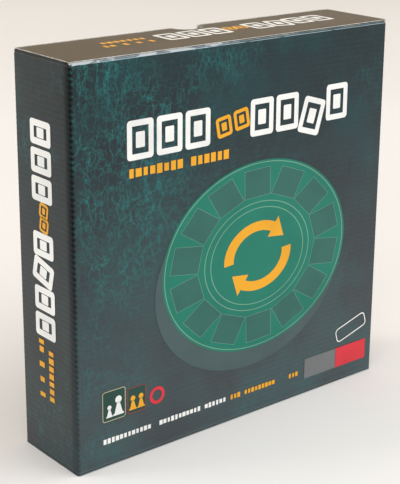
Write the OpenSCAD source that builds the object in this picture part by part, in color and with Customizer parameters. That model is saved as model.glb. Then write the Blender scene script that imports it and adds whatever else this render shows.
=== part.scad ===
// Boxed word game: a tuck-top carton of fine corrugated board that holds a revolving letter stand.
// The carton stands upright as it does on a shelf. X runs across its front, +Y runs from the front to the
// back, and +Z is up. The origin is the middle of the footprint, on the surface that the carton stands on.
// The stand is drawn on its own axis, feet down, and then turned to face the front of the carton.

/* [Carton] */
// Outside width of the carton
carton_w = 270; // [266:1:320]
// Outside height of the carton
carton_h = 270; // [266:1:320]
// Outside depth of the carton
carton_d = 64; // [62:0.5:80]
// Thickness of the corrugated board
board_t = 1.6; // [1.4:0.1:2]
// Outside radius of the folded edges
fold_r = 1.2; // [0.4:0.1:1.4]
// Play left at a crease that folds
crease_gap = 0.1; // [0.1:0.05:0.2]
// How far the lid swings from closed until it is folded back, in degrees
lid_swing = 235; // [180:1:240]
// Width of the glued seam strip inside the carton
glue_w = 14; // [10:1:18]

/* [Closure] */
// How far the lid's side edges stand inside the carton's sides
lid_inset = 0.4; // [0.2:0.1:1]
// Space between the tuck flap and the back panel
tuck_gap = 1.2; // [1.2:0.1:2]
// Length of the tuck flap
tuck_len = 15; // [12:1:16]
// Radius of the tuck flap's two lower corners
tuck_corner = 10; // [4:1:11]
// Play between each end of the tuck flap and the carton's side
tuck_side_gap = 2; // [1:0.5:5]
// Length of each dust flap
dust_len = 50; // [35:1:50]
// How much the dust flap's front edge draws back for each millimetre of its length
dust_front_taper = 0.54; // [0.54:0.01:0.6]
// How much the dust flap's rear edge draws in for each millimetre of its length
dust_rear_taper = 0.11; // [0.1:0.01:0.15]
// Play between the dust flap's edges and what lies beside them
dust_gap = 0.3; // [0.3:0.1:1]
// Radius of the rounding on the dust flap's free corners
dust_corner = 5; // [2:0.5:7]
// Radius of the thumb notch at the rear edge of the lid
notch_r = 12.5; // [9:0.5:15]
// Depth of the thumb notch in the tuck flap
notch_drop = 7; // [4:0.5:8]

/* [Bottom] */
// How far each bottom panel hooks past the middle of the carton
lock_reach = 8; // [4:1:14]
// Gap between the two bottom panels
lock_gap = 0.4; // [0.2:0.1:0.8]
// Length of the bottom side flaps
bottom_flap_len = 62; // [60:1:75]
// How much the side flaps' edges taper in over their length
bottom_flap_taper = 12; // [4:1:20]

/* [Insert] */
// Height of the cradle above the bottom panels
cradle_h = 184; // [150:1:200]
// Play around the stand's foot in the cradle
cradle_play = 0.3; // [0.2:0.05:0.5]
// Play between the cradle and the carton's seam strip
cradle_side_gap = 0.3; // [0.2:0.1:1]
// Size of the cut at the cradle's upper corners
cradle_corner = 18; // [5:1:30]
// Space between the cradle's face and the skirt of the deck
cradle_deck_gap = 2; // [1:0.1:3]
// Width of the folded rules leaflet
leaflet_w = 148; // [148:1:160]
// Height of the rules leaflet
leaflet_h = 210; // [180:1:220]
// Thickness of one leaf of the leaflet
leaf_t = 0.5; // [0.3:0.1:0.8]
// Space between the leaflet's two leaves
leaf_gap = 0.3; // [0.1:0.1:0.6]
// Space between the leaflet and the front panel
leaflet_gap = 0.3; // [0.2:0.1:1]

/* [Stand] */
// Height of the stand from its feet to the rim of the deck
stand_h = 42; // [38:0.5:44]
// Height of the stand's axis above the surface that the carton stands on
axis_z = 134; // [130:0.5:136]
// Width of the deck across its flat sides, at the foot of the skirt
deck_w = 200; // [198:1:206]
// How much of each corner of the deck is cut off
deck_cut = 29; // [27:1:34]
// How far each side of the deck leans in at the rim
deck_draft = 4; // [2:0.5:5]
// Wall thickness of the moulded shell
shell_t = 2.4; // [1.8:0.1:3]
// How far the skirt hangs below the cover plate
skirt_drop = 2; // [1:0.5:2.5]
// Space between the skirt and the rim of the foot
skirt_gap = 1; // [0.6:0.1:1.5]
// Thickness of the cover plate under the deck
cover_t = 2.4; // [1.8:0.1:3]
// Play between the cover plate and the skirt
cover_gap = 0.3; // [0.2:0.1:0.5]
// Radius of the foot that stays still
base_r = 78; // [74:0.5:80]
// Thickness of the foot's floor
base_floor = 3; // [2.6:0.1:4]
// Radius of each rubber pad
pad_r = 7; // [5:0.5:8]
// Thickness of each rubber pad
pad_t = 2; // [1.5:0.1:2.4]
// How deep each rubber pad sits in the foot
pad_sunk = 1; // [0.5:0.1:1.2]
// Number of rubber pads
pad_count = 6; // [3:1:8]
// Space between the stand's pads and the back panel
seat_gap = 0.3; // [0.2:0.1:0.6]

/* [Wells and tiles] */
// Side of a letter tile
tile_w = 28; // [26:0.5:28]
// Thickness of a letter tile
tile_t = 5; // [4:0.1:6]
// Radius of a letter tile's upright edges
tile_r = 2; // [1:0.5:4]
// Wall thickness of the hollow underside of a tile
tile_wall = 1.6; // [1.2:0.1:2]
// Play around a tile in its well
well_play = 0.3; // [0.2:0.05:0.4]
// Play under a tile
tile_seat_gap = 0.1; // [0.05:0.05:0.2]
// Depth of a well
well_depth = 3.5; // [3:0.1:3.8]
// Thickness of the wall between two wells
well_wall = 1.4; // [1.2:0.1:2]
// Thickness of the floor under a well
well_floor = 2; // [1.5:0.1:2.5]
// Width of the rim outside the wells
rim_w = 7; // [5:0.5:7]

/* [Middle of the deck] */
// Radius of the printed disc
disc_r = 50.7; // [46:0.1:51]
// Thickness of the printed disc
disc_t = 1.2; // [0.8:0.1:1.5]
// Play around the printed disc
disc_play = 0.3; // [0.2:0.1:0.5]
// Width of the raised ring around the disc
ring_w = 3; // [2:0.5:4]
// Depth of the square field around the ring
field_depth = 1.5; // [1:0.1:2]
// Width of the four ridges between the ring and the field's corners
ridge_w = 2.4; // [1.5:0.1:4]

/* [Bearing] */
// Radius of a bearing ball
ball_r = 3; // [2.6:0.1:3.2]
// Number of bearing balls
ball_count = 20; // [12:1:24]
// Radius of the circle that the balls run on
race_r = 62; // [56:0.5:63]
// Width of each race ring
race_w = 10; // [8:0.5:12]
// Thickness of each race ring
race_t = 2.4; // [2.2:0.1:3]
// Play between a ball and its race
ball_play = 0.05; // [0.02:0.01:0.08]
// Play between a race ring and the lip around it
race_play = 0.15; // [0.05:0.05:0.3]
// Width of the lip around each race ring
race_lip_w = 1.2; // [0.8:0.1:1.6]
// Height of the lip around each race ring
race_lip_h = 1.2; // [0.6:0.1:1.4]
// Height of the seat under the lower race
race_seat_h = 1.6; // [1:0.1:2]
// Number of ribs in the foot
base_ribs = 6; // [3:1:12]
// Number of ribs on the cover plate
cover_ribs = 8; // [4:1:12]
// Thickness of the ribs
rib_t = 2; // [1.2:0.1:3]
// Height of the ribs on the cover plate
cover_rib_h = 4; // [2:0.5:6]
// Thickness of the ball cage
cage_t = 1.6; // [1:0.1:1.8]
// Play around a ball in the cage
cage_play = 0.15; // [0.05:0.05:0.3]
// Radius of the pivot pin
pivot_r = 5; // [4:0.1:6]
// Play between the pivot pin and the hub
pivot_play = 0.05; // [0.02:0.01:0.1]
// Wall thickness of the hub around the pivot pin
hub_wall = 5; // [3:0.5:7]
// Length of the hub
hub_h = 8; // [6:0.5:9]
// Radius of the pivot boss under the hub
boss_r = 9; // [8:0.5:12]
// Height of the gap that lets the hub turn
turn_gap = 0.2; // [0.1:0.05:0.4]
// Thickness of the pivot washer
washer_t = 1.2; // [0.8:0.1:1.6]
// Radius of the pivot washer
washer_r = 9; // [8:0.5:10]

/* [Screws] */
// Radius of a screw's shank
screw_r = 1.5; // [1.2:0.1:1.8]
// Radius of a screw's head
screw_head_r = 3.4; // [2.8:0.1:3.8]
// Height of a screw's head
screw_head_h = 1.8; // [1.4:0.1:1.8]
// Length of the two crossed slots in a screw's head
screw_slot = 4; // [3:0.1:4.5]
// Width of the two crossed slots in a screw's head
screw_slot_w = 0.9; // [0.6:0.1:1.2]
// Depth of the two crossed slots in a screw's head
screw_slot_depth = 1; // [0.6:0.1:1.2]
// Play around a screw's shank in the thread that it cuts
screw_play = 0.05; // [0.03:0.01:0.1]
// Play around a screw's shank where it only passes through
screw_pass_play = 0.2; // [0.1:0.05:0.4]
// Length of a screw's shank
screw_len = 12; // [10:0.5:14]
// Wall thickness of the posts that take the screws
post_wall = 2.5; // [2:0.1:3.5]
// Distance of the screws from the deck's middle, along X and along Y
screw_reach = 68; // [67:0.5:70]

/* [Hidden] */
$fn = 96;

// Colours as the printed board, the moulding and the metal show them
print_green = "#2f474a";
board_white = "#d9d4cb";
deck_green = "#12795c";
well_green = "#2b5f52";
base_green = "#2c4a42";
rubber_black = "#26282a";
steel = "#b9bcc0";
gold = "#e8a71c";

// Carton
side_x = carton_w / 2;
front_y = -carton_d / 2;
back_y = carton_d / 2;
inner_x = side_x - board_t;
inner_front_y = front_y + board_t;
inner_back_y = back_y - board_t;
lid_under_z = carton_h - board_t;
front_top_z = lid_under_z - crease_gap;
dust_top_z = lid_under_z - crease_gap;
dust_under_z = dust_top_z - board_t;
side_top_z = dust_under_z - crease_gap;
floor_z = 2 * board_t;
lid_rear_y = inner_back_y - tuck_gap;
tuck_y = lid_rear_y - board_t;
tuck_top_z = lid_under_z - crease_gap;
lid_axis_y = front_y + board_t / 2;
lid_axis_z = carton_h - board_t / 2;
dust_front_y = inner_front_y + dust_gap;
dust_rear_y = tuck_y - dust_gap;

// Stand, measured along its axis from the table
stand_back_y = inner_back_y - seat_gap;
base_low = pad_t - pad_sunk;
base_top = base_low + base_floor;
lower_race_low = base_top + race_seat_h;
lower_race_top = lower_race_low + race_t;
race_half_gap = 0.6 * ball_r;
ball_z = lower_race_top + race_half_gap;
upper_race_low = ball_z + race_half_gap;
cover_low = upper_race_low + race_t;
cover_top = cover_low + cover_t;
skirt_low = cover_low - skirt_drop;
base_rim = skirt_low - skirt_gap;
hub_top = cover_low + hub_h;
well_base = stand_h - well_depth;
deck_under = well_base - well_floor;
rim_half = deck_w / 2 - deck_draft;

// Wells
well_w = tile_w + 2 * well_play;
pitch = well_w + well_wall;
well_out = rim_half - rim_w;
well_mid = well_out - well_w / 2;
field_half = well_out - well_w - well_wall;
// Which of the four wells on each side of the deck holds a tile
filled = [[1, 0, 1, 1], [0, 1, 0, 1], [1, 0, 1, 1], [0, 1, 0, 1]];
tile_places = [for (s = [0 : 3]) for (i = [0 : 3]) if (filled[s][i] == 1) [s, i]];

// Cradle
cradle_face_y = stand_back_y - skirt_low + cradle_deck_gap;
cradle_half = inner_x - board_t - cradle_side_gap;
slot_r = base_r + cradle_play;

ring_in = disc_r + disc_play;
race_in = race_r - race_w / 2;
race_out = race_r + race_w / 2;
// How far a cut runs past the face that it opens, and how deep a rib is rooted in its wall
overlap = 1;

// ---------- shapes used more than once ----------

module rounded_square(w, r) {
    square([w - 2 * r, w], center = true);
    square([w, w - 2 * r], center = true);
    for (x = [-1, 1], y = [-1, 1]) translate([x * (w / 2 - r), y * (w / 2 - r)]) circle(r);
}

// The deck's plan, drawn in from its outside by a constant width
module deck_plan(inset) {
    h = deck_w / 2 - inset;
    k = h - deck_cut + (2 - sqrt(2)) * inset;
    polygon([[h, -k], [h, k], [k, h], [-k, h], [-h, k], [-h, -k], [-k, -h], [k, -h]]);
}

// How much narrower the leaning skirt is at a height than at its foot
function lean(z) = 1 - deck_draft / (deck_w / 2) * (z - skirt_low) / (stand_h - skirt_low);

module tube(r_out, r_in, h) {
    difference() {
        cylinder(r = r_out, h = h);
        translate([0, 0, -overlap]) cylinder(r = r_in, h = h + 2 * overlap);
    }
}

// Turns a shape drawn on the stand's axis to face the front of the carton
module in_carton() translate([0, stand_back_y, axis_z]) rotate([90, 0, 0]) children();

// A wall of the carton as seen from above, its outside edges rounded where the board folds round the corners
module folded_wall() {
    translate([-side_x + fold_r, 0]) square([carton_w - 2 * fold_r, board_t]);
    translate([-side_x, fold_r]) square([carton_w, board_t - fold_r]);
    intersection() {
        for (x = [-1, 1]) translate([x * (side_x - fold_r), fold_r]) circle(fold_r);
        translate([-side_x, 0]) square([carton_w, board_t]);
    }
}

// The outline of a dust flap: x is the distance from its crease, y runs from the front of the carton
module dust_outline() {
    tip_front = dust_front_y + dust_front_taper * dust_len;
    tip_rear = dust_rear_y - dust_rear_taper * dust_len;
    inset = dust_corner;
    difference() {
        polygon([[0, dust_front_y], [dust_len, tip_front], [dust_len, tip_rear], [0, dust_rear_y]]);
        translate([dust_len - inset, tip_rear - inset]) difference() {
            square([inset + overlap, inset + overlap + dust_rear_taper * inset]);
            circle(inset);
        }
    }
}

// ---------- carton ----------

// The top edge is crushed to a slope along the crease, which lets the lid fold right back
module front_panel() {
    room = 2 * crease_gap;
    color(print_green) difference() {
        translate([0, front_y, board_t]) linear_extrude(front_top_z - board_t) folded_wall();
        translate([-carton_w / 2 - overlap, lid_axis_y, lid_axis_z]) rotate([lid_swing, 0, 0])
            translate([0, 0, -board_t / 2 - room])
                cube([carton_w + 2 * overlap, carton_d, board_t + 2 * room]);
    }
}

module back_panel() {
    color(print_green) translate([0, back_y, board_t])
        linear_extrude(carton_h - board_t - 2 * crease_gap) mirror([0, 1]) folded_wall();
}

module side_wall() {
    translate([inner_x, inner_front_y, board_t])
        cube([board_t, inner_back_y - inner_front_y, side_top_z - board_t]);
}

module left_panel() {
    color(print_green) mirror([1, 0, 0]) side_wall();
}

module right_panel() {
    color(print_green) side_wall();
}

// The strip that glues the blank into a tube, inside the left panel
module glue_flap() {
    color(board_white) translate([-inner_x, inner_back_y - glue_w, floor_z])
        linear_extrude(side_top_z - floor_z - glue_w / 2)
            polygon([[0, 0], [board_t, board_t / 2], [board_t, glue_w], [0, glue_w]]);
}

// One half of the self-locking bottom, with the step that hooks into the other half
module bottom_half() {
    half_gap = lock_gap / 2;
    color(print_green) intersection() {
        linear_extrude(board_t) polygon([
            [-side_x, front_y], [side_x, front_y], [side_x, -lock_reach - half_gap],
            [lock_reach, -lock_reach - half_gap], [-lock_reach, lock_reach - half_gap],
            [-side_x, lock_reach - half_gap]
        ]);
        union() {
            translate([-side_x, front_y + fold_r, 0]) cube([carton_w, carton_d, board_t]);
            translate([-side_x, front_y, fold_r]) cube([carton_w, carton_d, board_t]);
            translate([-side_x, front_y + fold_r, fold_r]) rotate([0, 90, 0])
                cylinder(r = fold_r, h = carton_w);
        }
    }
}

module bottom_front_panel() bottom_half();

module bottom_back_panel() rotate([0, 0, 180]) bottom_half();

module bottom_side_flap() {
    reach = inner_x - bottom_flap_len;
    color(board_white) translate([0, 0, board_t]) linear_extrude(board_t) polygon([
        [inner_x, inner_front_y], [inner_x, inner_back_y],
        [reach, inner_back_y - bottom_flap_taper], [reach, inner_front_y + bottom_flap_taper]
    ]);
}

module bottom_left_flap() mirror([1, 0, 0]) bottom_side_flap();

module bottom_right_flap() bottom_side_flap();

// The lid folds on its round front edge, and a thumb notch is cut out of its rear edge
module lid_panel() {
    lid_half = side_x - lid_inset;
    color(print_green) difference() {
        translate([-lid_half, 0, lid_under_z]) rotate([90, 0, 90]) linear_extrude(2 * lid_half) {
            translate([lid_axis_y, 0]) square([lid_rear_y - fold_r - lid_axis_y, board_t]);
            translate([lid_axis_y, 0]) square([lid_rear_y - lid_axis_y, board_t - fold_r]);
            translate([lid_axis_y, board_t / 2]) circle(board_t / 2);
            intersection() {
                translate([lid_rear_y - fold_r, board_t - fold_r]) circle(fold_r);
                translate([lid_axis_y, 0]) square([lid_rear_y - lid_axis_y, board_t]);
            }
        }
        translate([0, lid_rear_y, lid_under_z - overlap]) cylinder(r = notch_r, h = board_t + 2 * overlap);
    }
}

// The flap hangs from its round top edge and tucks in behind the dust flaps
module tuck_flap() {
    half = inner_x - tuck_side_gap;
    r = tuck_corner;
    crease = -board_t / 2;
    color(board_white) difference() {
        union() {
            translate([0, lid_rear_y, tuck_top_z]) rotate([90, 0, 0]) linear_extrude(board_t) {
                translate([-half, -tuck_len + r]) square([2 * half, tuck_len - r + crease]);
                translate([-half + r, -tuck_len]) square([2 * (half - r), tuck_len + crease]);
                intersection() {
                    for (x = [-1, 1]) translate([x * (half - r), -tuck_len + r]) circle(r);
                    translate([-half, -tuck_len]) square([2 * half, r]);
                }
            }
            translate([-half, lid_rear_y + crease, tuck_top_z + crease]) rotate([0, 90, 0])
                cylinder(r = board_t / 2, h = 2 * half);
        }
        intersection() {
            translate([0, back_y, tuck_top_z]) rotate([90, 0, 0]) cylinder(r = notch_r, h = carton_d / 2);
            translate([-notch_r, 0, tuck_top_z - notch_drop]) cube([2 * notch_r, back_y, 2 * notch_drop]);
        }
    }
}

// The flap lies under the lid, on its round outer edge
module dust_flap() {
    crease = board_t / 2;
    color(board_white) {
        translate([side_x - crease, 0, dust_under_z]) mirror([1, 0, 0])
            linear_extrude(board_t) dust_outline();
        translate([side_x - crease, dust_front_y, dust_under_z + crease]) rotate([-90, 0, 0])
            cylinder(r = crease, h = dust_rear_y - dust_front_y);
    }
}

module dust_flap_left() mirror([1, 0, 0]) dust_flap();

module dust_flap_right() dust_flap();

// ---------- what lies in the carton ----------

// A die-cut cradle: its face has a slot that the stand's foot slides down, and its edges fold back as legs
module insert_cradle() {
    low = floor_z;
    top = floor_z + cradle_h;
    leg = inner_back_y - cradle_face_y - board_t;
    color(board_white) {
        translate([0, cradle_face_y + board_t, 0]) rotate([90, 0, 0]) linear_extrude(board_t) difference() {
            polygon([
                [-cradle_half, low], [cradle_half, low], [cradle_half, top - cradle_corner],
                [cradle_half - cradle_corner, top], [-cradle_half + cradle_corner, top],
                [-cradle_half, top - cradle_corner]
            ]);
            translate([0, axis_z]) circle(slot_r);
            translate([-slot_r, axis_z]) square([2 * slot_r, top]);
        }
        for (x = [-cradle_half, cradle_half - board_t]) translate([x, cradle_face_y + board_t, low])
            cube([board_t, leg, top - cradle_corner - low]);
        translate([-cradle_half, cradle_face_y + board_t, low]) cube([2 * cradle_half, leg, board_t]);
    }
}

// One sheet folded down its left edge, standing against the front panel
module rules_leaflet() {
    depth = 2 * leaf_t + leaf_gap;
    color("white") translate([0, inner_front_y + leaflet_gap, floor_z]) linear_extrude(leaflet_h)
        difference() {
            union() {
                translate([-leaflet_w / 2 + depth / 2, 0]) square([leaflet_w - depth / 2, depth]);
                translate([-leaflet_w / 2 + depth / 2, depth / 2]) circle(depth / 2);
            }
            translate([-leaflet_w / 2 + depth / 2, leaf_t]) square([leaflet_w, leaf_gap]);
        }
}

// ---------- the part of the stand that stays still ----------

// A dish with a rim, a seat and a lip for the lower race, and the pivot pin in its middle
module stand_base() {
    color(base_green) in_carton() difference() {
        union() {
            translate([0, 0, base_low]) cylinder(r = base_r, h = base_floor);
            translate([0, 0, base_low]) tube(base_r, base_r - shell_t, base_rim - base_low);
            translate([0, 0, base_top]) tube(race_out + race_play + race_lip_w, race_in, race_seat_h);
            translate([0, 0, base_top]) tube(race_out + race_play + race_lip_w, race_out + race_play,
                race_seat_h + race_lip_h);
            translate([0, 0, base_top]) cylinder(r = boss_r, h = cover_low - turn_gap - base_top);
            translate([0, 0, base_top]) cylinder(r = pivot_r, h = hub_top + turn_gap - base_top);
            for (k = [0 : base_ribs - 1]) rotate(k * 360 / base_ribs)
                translate([boss_r - overlap, -rib_t / 2, base_top])
                    cube([race_in - boss_r + 2 * overlap, rib_t, race_seat_h]);
        }
        for (k = [0 : pad_count - 1]) rotate((k + 0.5) * 360 / pad_count)
            translate([race_r, 0, -overlap]) cylinder(r = pad_r, h = pad_t + overlap);
        translate([0, 0, hub_top + turn_gap - screw_len])
            cylinder(r = screw_r + screw_play, h = screw_len + overlap);
    }
}

module rubber_feet() {
    color(rubber_black) in_carton() for (k = [0 : pad_count - 1])
        rotate((k + 0.5) * 360 / pad_count) translate([race_r, 0, 0]) cylinder(r = pad_r, h = pad_t);
}

// A ring with a round groove for the balls, its flat back at z = 0
module race_ring(groove_z) {
    difference() {
        tube(race_out, race_in, race_t);
        rotate_extrude() translate([race_r, groove_z]) circle(ball_r + ball_play);
    }
}

module lower_race() {
    color(steel) in_carton() translate([0, 0, lower_race_low]) race_ring(race_t + race_half_gap);
}

module pivot_washer() {
    color(steel) in_carton() translate([0, 0, hub_top + turn_gap])
        tube(washer_r, screw_r + screw_pass_play, washer_t);
}

module screw(length) {
    color(steel) difference() {
        union() {
            translate([0, 0, -length]) cylinder(r = screw_r, h = length);
            cylinder(r = screw_head_r, h = screw_head_h);
        }
        for (a = [0, 90]) rotate(a)
            translate([-screw_slot / 2, -screw_slot_w / 2, screw_head_h - screw_slot_depth])
                cube([screw_slot, screw_slot_w, screw_slot_depth + overlap]);
    }
}

module pivot_screw() in_carton() translate([0, 0, hub_top + turn_gap + washer_t]) screw(screw_len);

// ---------- the ball ring, which turns at half the deck's speed ----------

module ball_cage() {
    color(gold) in_carton() translate([0, 0, ball_z - cage_t / 2]) difference() {
        tube(race_out - turn_gap, race_in + turn_gap, cage_t);
        for (k = [0 : ball_count - 1]) rotate(k * 360 / ball_count)
            translate([race_r, 0, -overlap]) cylinder(r = ball_r + cage_play, h = cage_t + 2 * overlap);
    }
}

module bearing_balls() {
    color(steel) in_carton() for (k = [0 : ball_count - 1])
        rotate(k * 360 / ball_count) translate([race_r, 0, ball_z]) sphere(ball_r);
}

// ---------- the part of the stand that turns ----------

module upper_race() {
    color(steel) in_carton() translate([0, 0, upper_race_low]) race_ring(-race_half_gap);
}

module at_screws() {
    for (x = [-1, 1], y = [-1, 1]) translate([x * screw_reach, y * screw_reach]) children();
}

// The plate that closes the deck from below, with the hub that turns on the pivot pin
module deck_cover() {
    color(base_green) in_carton() difference() {
        union() {
            translate([0, 0, cover_low]) linear_extrude(cover_t) scale(lean(cover_top))
                deck_plan(shell_t + cover_gap);
            translate([0, 0, cover_low - race_lip_h])
                tube(race_out + race_play + race_lip_w, race_out + race_play, race_lip_h);
            translate([0, 0, cover_low]) cylinder(r = pivot_r + hub_wall, h = hub_h);
            for (k = [0 : cover_ribs - 1]) rotate(k * 360 / cover_ribs)
                translate([pivot_r + hub_wall - overlap, -rib_t / 2, cover_low])
                    cube([race_r - pivot_r - hub_wall + overlap, rib_t, cover_t + cover_rib_h]);
        }
        translate([0, 0, cover_low - overlap]) cylinder(r = pivot_r + pivot_play, h = hub_h + 2 * overlap);
        at_screws() translate([0, 0, cover_low - overlap])
            cylinder(r = screw_r + screw_pass_play, h = cover_t + 2 * overlap);
    }
}

module cover_screws() {
    color(steel) in_carton() at_screws() translate([0, 0, cover_low]) mirror([0, 0, 1]) screw(screw_len);
}

// Sixteen wells, four to a side
module wells() {
    for (s = [0 : 3]) rotate(-90 * s) for (i = [0 : 3])
        translate([(i - 1.5) * pitch, well_mid, well_base]) linear_extrude(well_depth + overlap)
            rounded_square(well_w, tile_r);
}

// The square field with its raised ring and four corner ridges, taken out of the deck's top
module field_cut() {
    translate([0, 0, stand_h - field_depth]) linear_extrude(field_depth + overlap) difference() {
        square(2 * field_half, center = true);
        circle(ring_in + ring_w);
        for (a = [45, 135]) rotate(a) square([4 * field_half, ridge_w], center = true);
    }
    translate([0, 0, stand_h - disc_t]) cylinder(r = ring_in, h = disc_t + overlap);
}

// The moulded deck: a leaning skirt, wells for the tiles, and ribs and screw posts underneath
module deck_shell() {
    rib_h = (deck_under - cover_top) / 2;
    color(deck_green) in_carton() difference() {
        union() {
            difference() {
                translate([0, 0, skirt_low]) linear_extrude(stand_h - skirt_low, scale = lean(stand_h))
                    deck_plan(0);
                translate([0, 0, skirt_low]) linear_extrude(deck_under - skirt_low, scale = lean(deck_under))
                    deck_plan(shell_t);
                translate([0, 0, skirt_low - overlap]) linear_extrude(2 * overlap)
                    scale(lean(skirt_low + overlap)) deck_plan(shell_t);
            }
            at_screws() translate([0, 0, cover_top])
                cylinder(r = screw_r + post_wall, h = deck_under - cover_top + overlap);
            for (a = [0, 90], x = [-pitch, pitch]) rotate(a)
                translate([x - rib_t / 2, -rim_half + shell_t, deck_under - rib_h])
                    cube([rib_t, 2 * (rim_half - shell_t), rib_h + overlap]);
        }
        wells();
        field_cut();
        at_screws() translate([0, 0, cover_top - overlap]) cylinder(r = screw_r + screw_play, h = screw_len);
    }
}

module centre_disc() {
    color(well_green) in_carton() translate([0, 0, stand_h - disc_t]) cylinder(r = disc_r, h = disc_t);
}

// Tile number n sits in the n-th filled well, going round the deck
module letter_tile(n) {
    place = tile_places[n - 1];
    color(well_green) in_carton() rotate(-90 * place[0])
        translate([(place[1] - 1.5) * pitch, well_mid, well_base + tile_seat_gap]) difference() {
            linear_extrude(tile_t) rounded_square(tile_w, tile_r);
            translate([0, 0, -overlap]) linear_extrude(tile_t - tile_wall + overlap)
                rounded_square(tile_w - 2 * tile_wall, tile_r);
        }
}

front_panel();
back_panel();
left_panel();
right_panel();
glue_flap();
bottom_front_panel();
bottom_back_panel();
bottom_left_flap();
bottom_right_flap();
lid_panel();
tuck_flap();
dust_flap_left();
dust_flap_right();
insert_cradle();
rules_leaflet();
stand_base();
rubber_feet();
lower_race();
pivot_washer();
pivot_screw();
ball_cage();
bearing_balls();
upper_race();
deck_cover();
deck_shell();
cover_screws();
centre_disc();
letter_tile(1);  // letter_tile_01
letter_tile(2);  // letter_tile_02
letter_tile(3);  // letter_tile_03
letter_tile(4);  // letter_tile_04
letter_tile(5);  // letter_tile_05
letter_tile(6);  // letter_tile_06
letter_tile(7);  // letter_tile_07
letter_tile(8);  // letter_tile_08
letter_tile(9);  // letter_tile_09
letter_tile(10);  // letter_tile_10
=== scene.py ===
# %% [markdown]
# # A boxed word game, dressed in Blender
# The object is the carton of a game: fine corrugated board with a glossy dark print. Inside stands a
# moulded board that turns on a ball bearing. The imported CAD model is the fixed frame: it gives every
# piece its place and its motion. This lesson adds what the frame has not got, the look of folded board,
# printed ink, crushed creases and moulded plastic.

# %% Load the frame and keep its box
import math
from contextlib import contextmanager

import bmesh
import bpy
from mathutils import Matrix, Vector, noise


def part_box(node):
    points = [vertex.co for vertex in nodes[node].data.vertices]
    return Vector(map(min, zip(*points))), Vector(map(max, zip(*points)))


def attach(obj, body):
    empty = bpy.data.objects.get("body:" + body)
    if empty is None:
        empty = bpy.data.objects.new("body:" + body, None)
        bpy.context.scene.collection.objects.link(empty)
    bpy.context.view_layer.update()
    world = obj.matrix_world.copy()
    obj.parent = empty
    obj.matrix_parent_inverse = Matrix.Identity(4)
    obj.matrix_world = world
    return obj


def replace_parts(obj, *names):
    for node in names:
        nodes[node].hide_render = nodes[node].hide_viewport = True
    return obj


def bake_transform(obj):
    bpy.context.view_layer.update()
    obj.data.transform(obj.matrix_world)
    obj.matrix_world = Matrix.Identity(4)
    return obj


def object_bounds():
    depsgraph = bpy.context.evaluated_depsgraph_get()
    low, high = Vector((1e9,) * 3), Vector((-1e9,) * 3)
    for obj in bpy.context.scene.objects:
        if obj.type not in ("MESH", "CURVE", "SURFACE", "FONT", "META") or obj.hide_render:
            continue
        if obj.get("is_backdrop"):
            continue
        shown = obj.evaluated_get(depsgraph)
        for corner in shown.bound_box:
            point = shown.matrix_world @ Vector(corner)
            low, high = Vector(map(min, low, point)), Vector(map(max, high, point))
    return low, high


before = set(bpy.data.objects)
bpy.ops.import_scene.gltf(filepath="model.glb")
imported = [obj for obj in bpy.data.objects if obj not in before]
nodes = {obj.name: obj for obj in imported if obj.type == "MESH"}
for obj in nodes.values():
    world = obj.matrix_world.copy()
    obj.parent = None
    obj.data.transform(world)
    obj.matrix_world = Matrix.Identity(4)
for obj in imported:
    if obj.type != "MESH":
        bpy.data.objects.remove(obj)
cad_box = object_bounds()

print("CAD box in metres:", [tuple(round(v, 4) for v in corner) for corner in cad_box])

# %% [markdown]
# ## Measures
# The carton's own sizes are read from the frame, so the looks stay right if the frame changes. Every
# drawing below is in millimetres, because a carton maker's dieline is, and is turned to metres once.

# %% Sizes of the carton
MM = 0.001
lid_low, lid_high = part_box("lid_panel")
front_low, front_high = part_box("front_panel")
back_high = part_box("back_panel")[1]
side_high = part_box("left_panel")[1]

HALF_W = front_high.x / MM
HALF_D = back_high.y / MM
HEIGHT = lid_high.z / MM
BOARD = lid_high.z / MM - lid_low.z / MM
SIDE_TOP = side_high.z / MM
LID_UNDER = lid_low.z / MM
FLUTE = 3.64          # distance between two flutes of the board
FOLD = 2.4            # outside radius where the board folds round a corner
UNDER = 0.16          # how far the board's skin lies inside the CAD box, so that ink still fits on it
print(f"carton {2 * HALF_W:.0f} x {2 * HALF_D:.0f} x {HEIGHT:.0f} mm, board {BOARD:.2f} mm")

# %% [markdown]
# ## Camera
# A photograph of a box gives its own camera away: the three sets of parallel edges run to three
# vanishing points. A pinhole camera was fitted to the box's seven corners, and its place, turn and
# lens are written here. The small shift says that the picture was cropped from a larger one.

# %% Camera at the photograph's angle
VIEW_YAW = 39.87


def in_scene(name, data):
    """A new object in the scene, at the origin."""
    made = bpy.data.objects.new(name, data)
    bpy.context.scene.collection.objects.link(made)
    return made


def make_camera(place, yaw, pitch, roll, lens, shift):
    """A pinhole camera: yaw is clockwise from +Y, pitch is downwards, both in degrees."""
    data = bpy.data.cameras.new("camera")
    data.sensor_width = 36
    data.lens = lens
    data.shift_x, data.shift_y = shift
    data.clip_start, data.clip_end = 0.05, 50
    stand = Matrix.Translation(place)
    for degrees, axis in ((-yaw, "Z"), (90 - pitch, "X"), (roll, "Z")):
        stand = stand @ Matrix.Rotation(math.radians(degrees), 4, axis)
    camera = in_scene("camera", data)
    camera.matrix_world = stand
    return camera


bpy.context.scene.camera = make_camera(
    place=(-0.5469, -0.6558, 0.4139), yaw=VIEW_YAW, pitch=16.75, roll=0.59,
    lens=96.14, shift=(-0.0248, -0.0971))
bpy.context.scene.view_settings.view_transform = "Standard"
print("camera looks along", bpy.context.scene.camera.matrix_world.to_3x3() @ Vector((0, 0, -1)))

# %% [markdown]
# ## Colours and nodes
# A hex colour is what the eye picks on a screen. A shader counts light, so each colour goes through
# one function that undoes the screen's curve. One more function adds a node, so that each material
# below reads as a short list of what it is made of.

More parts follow.
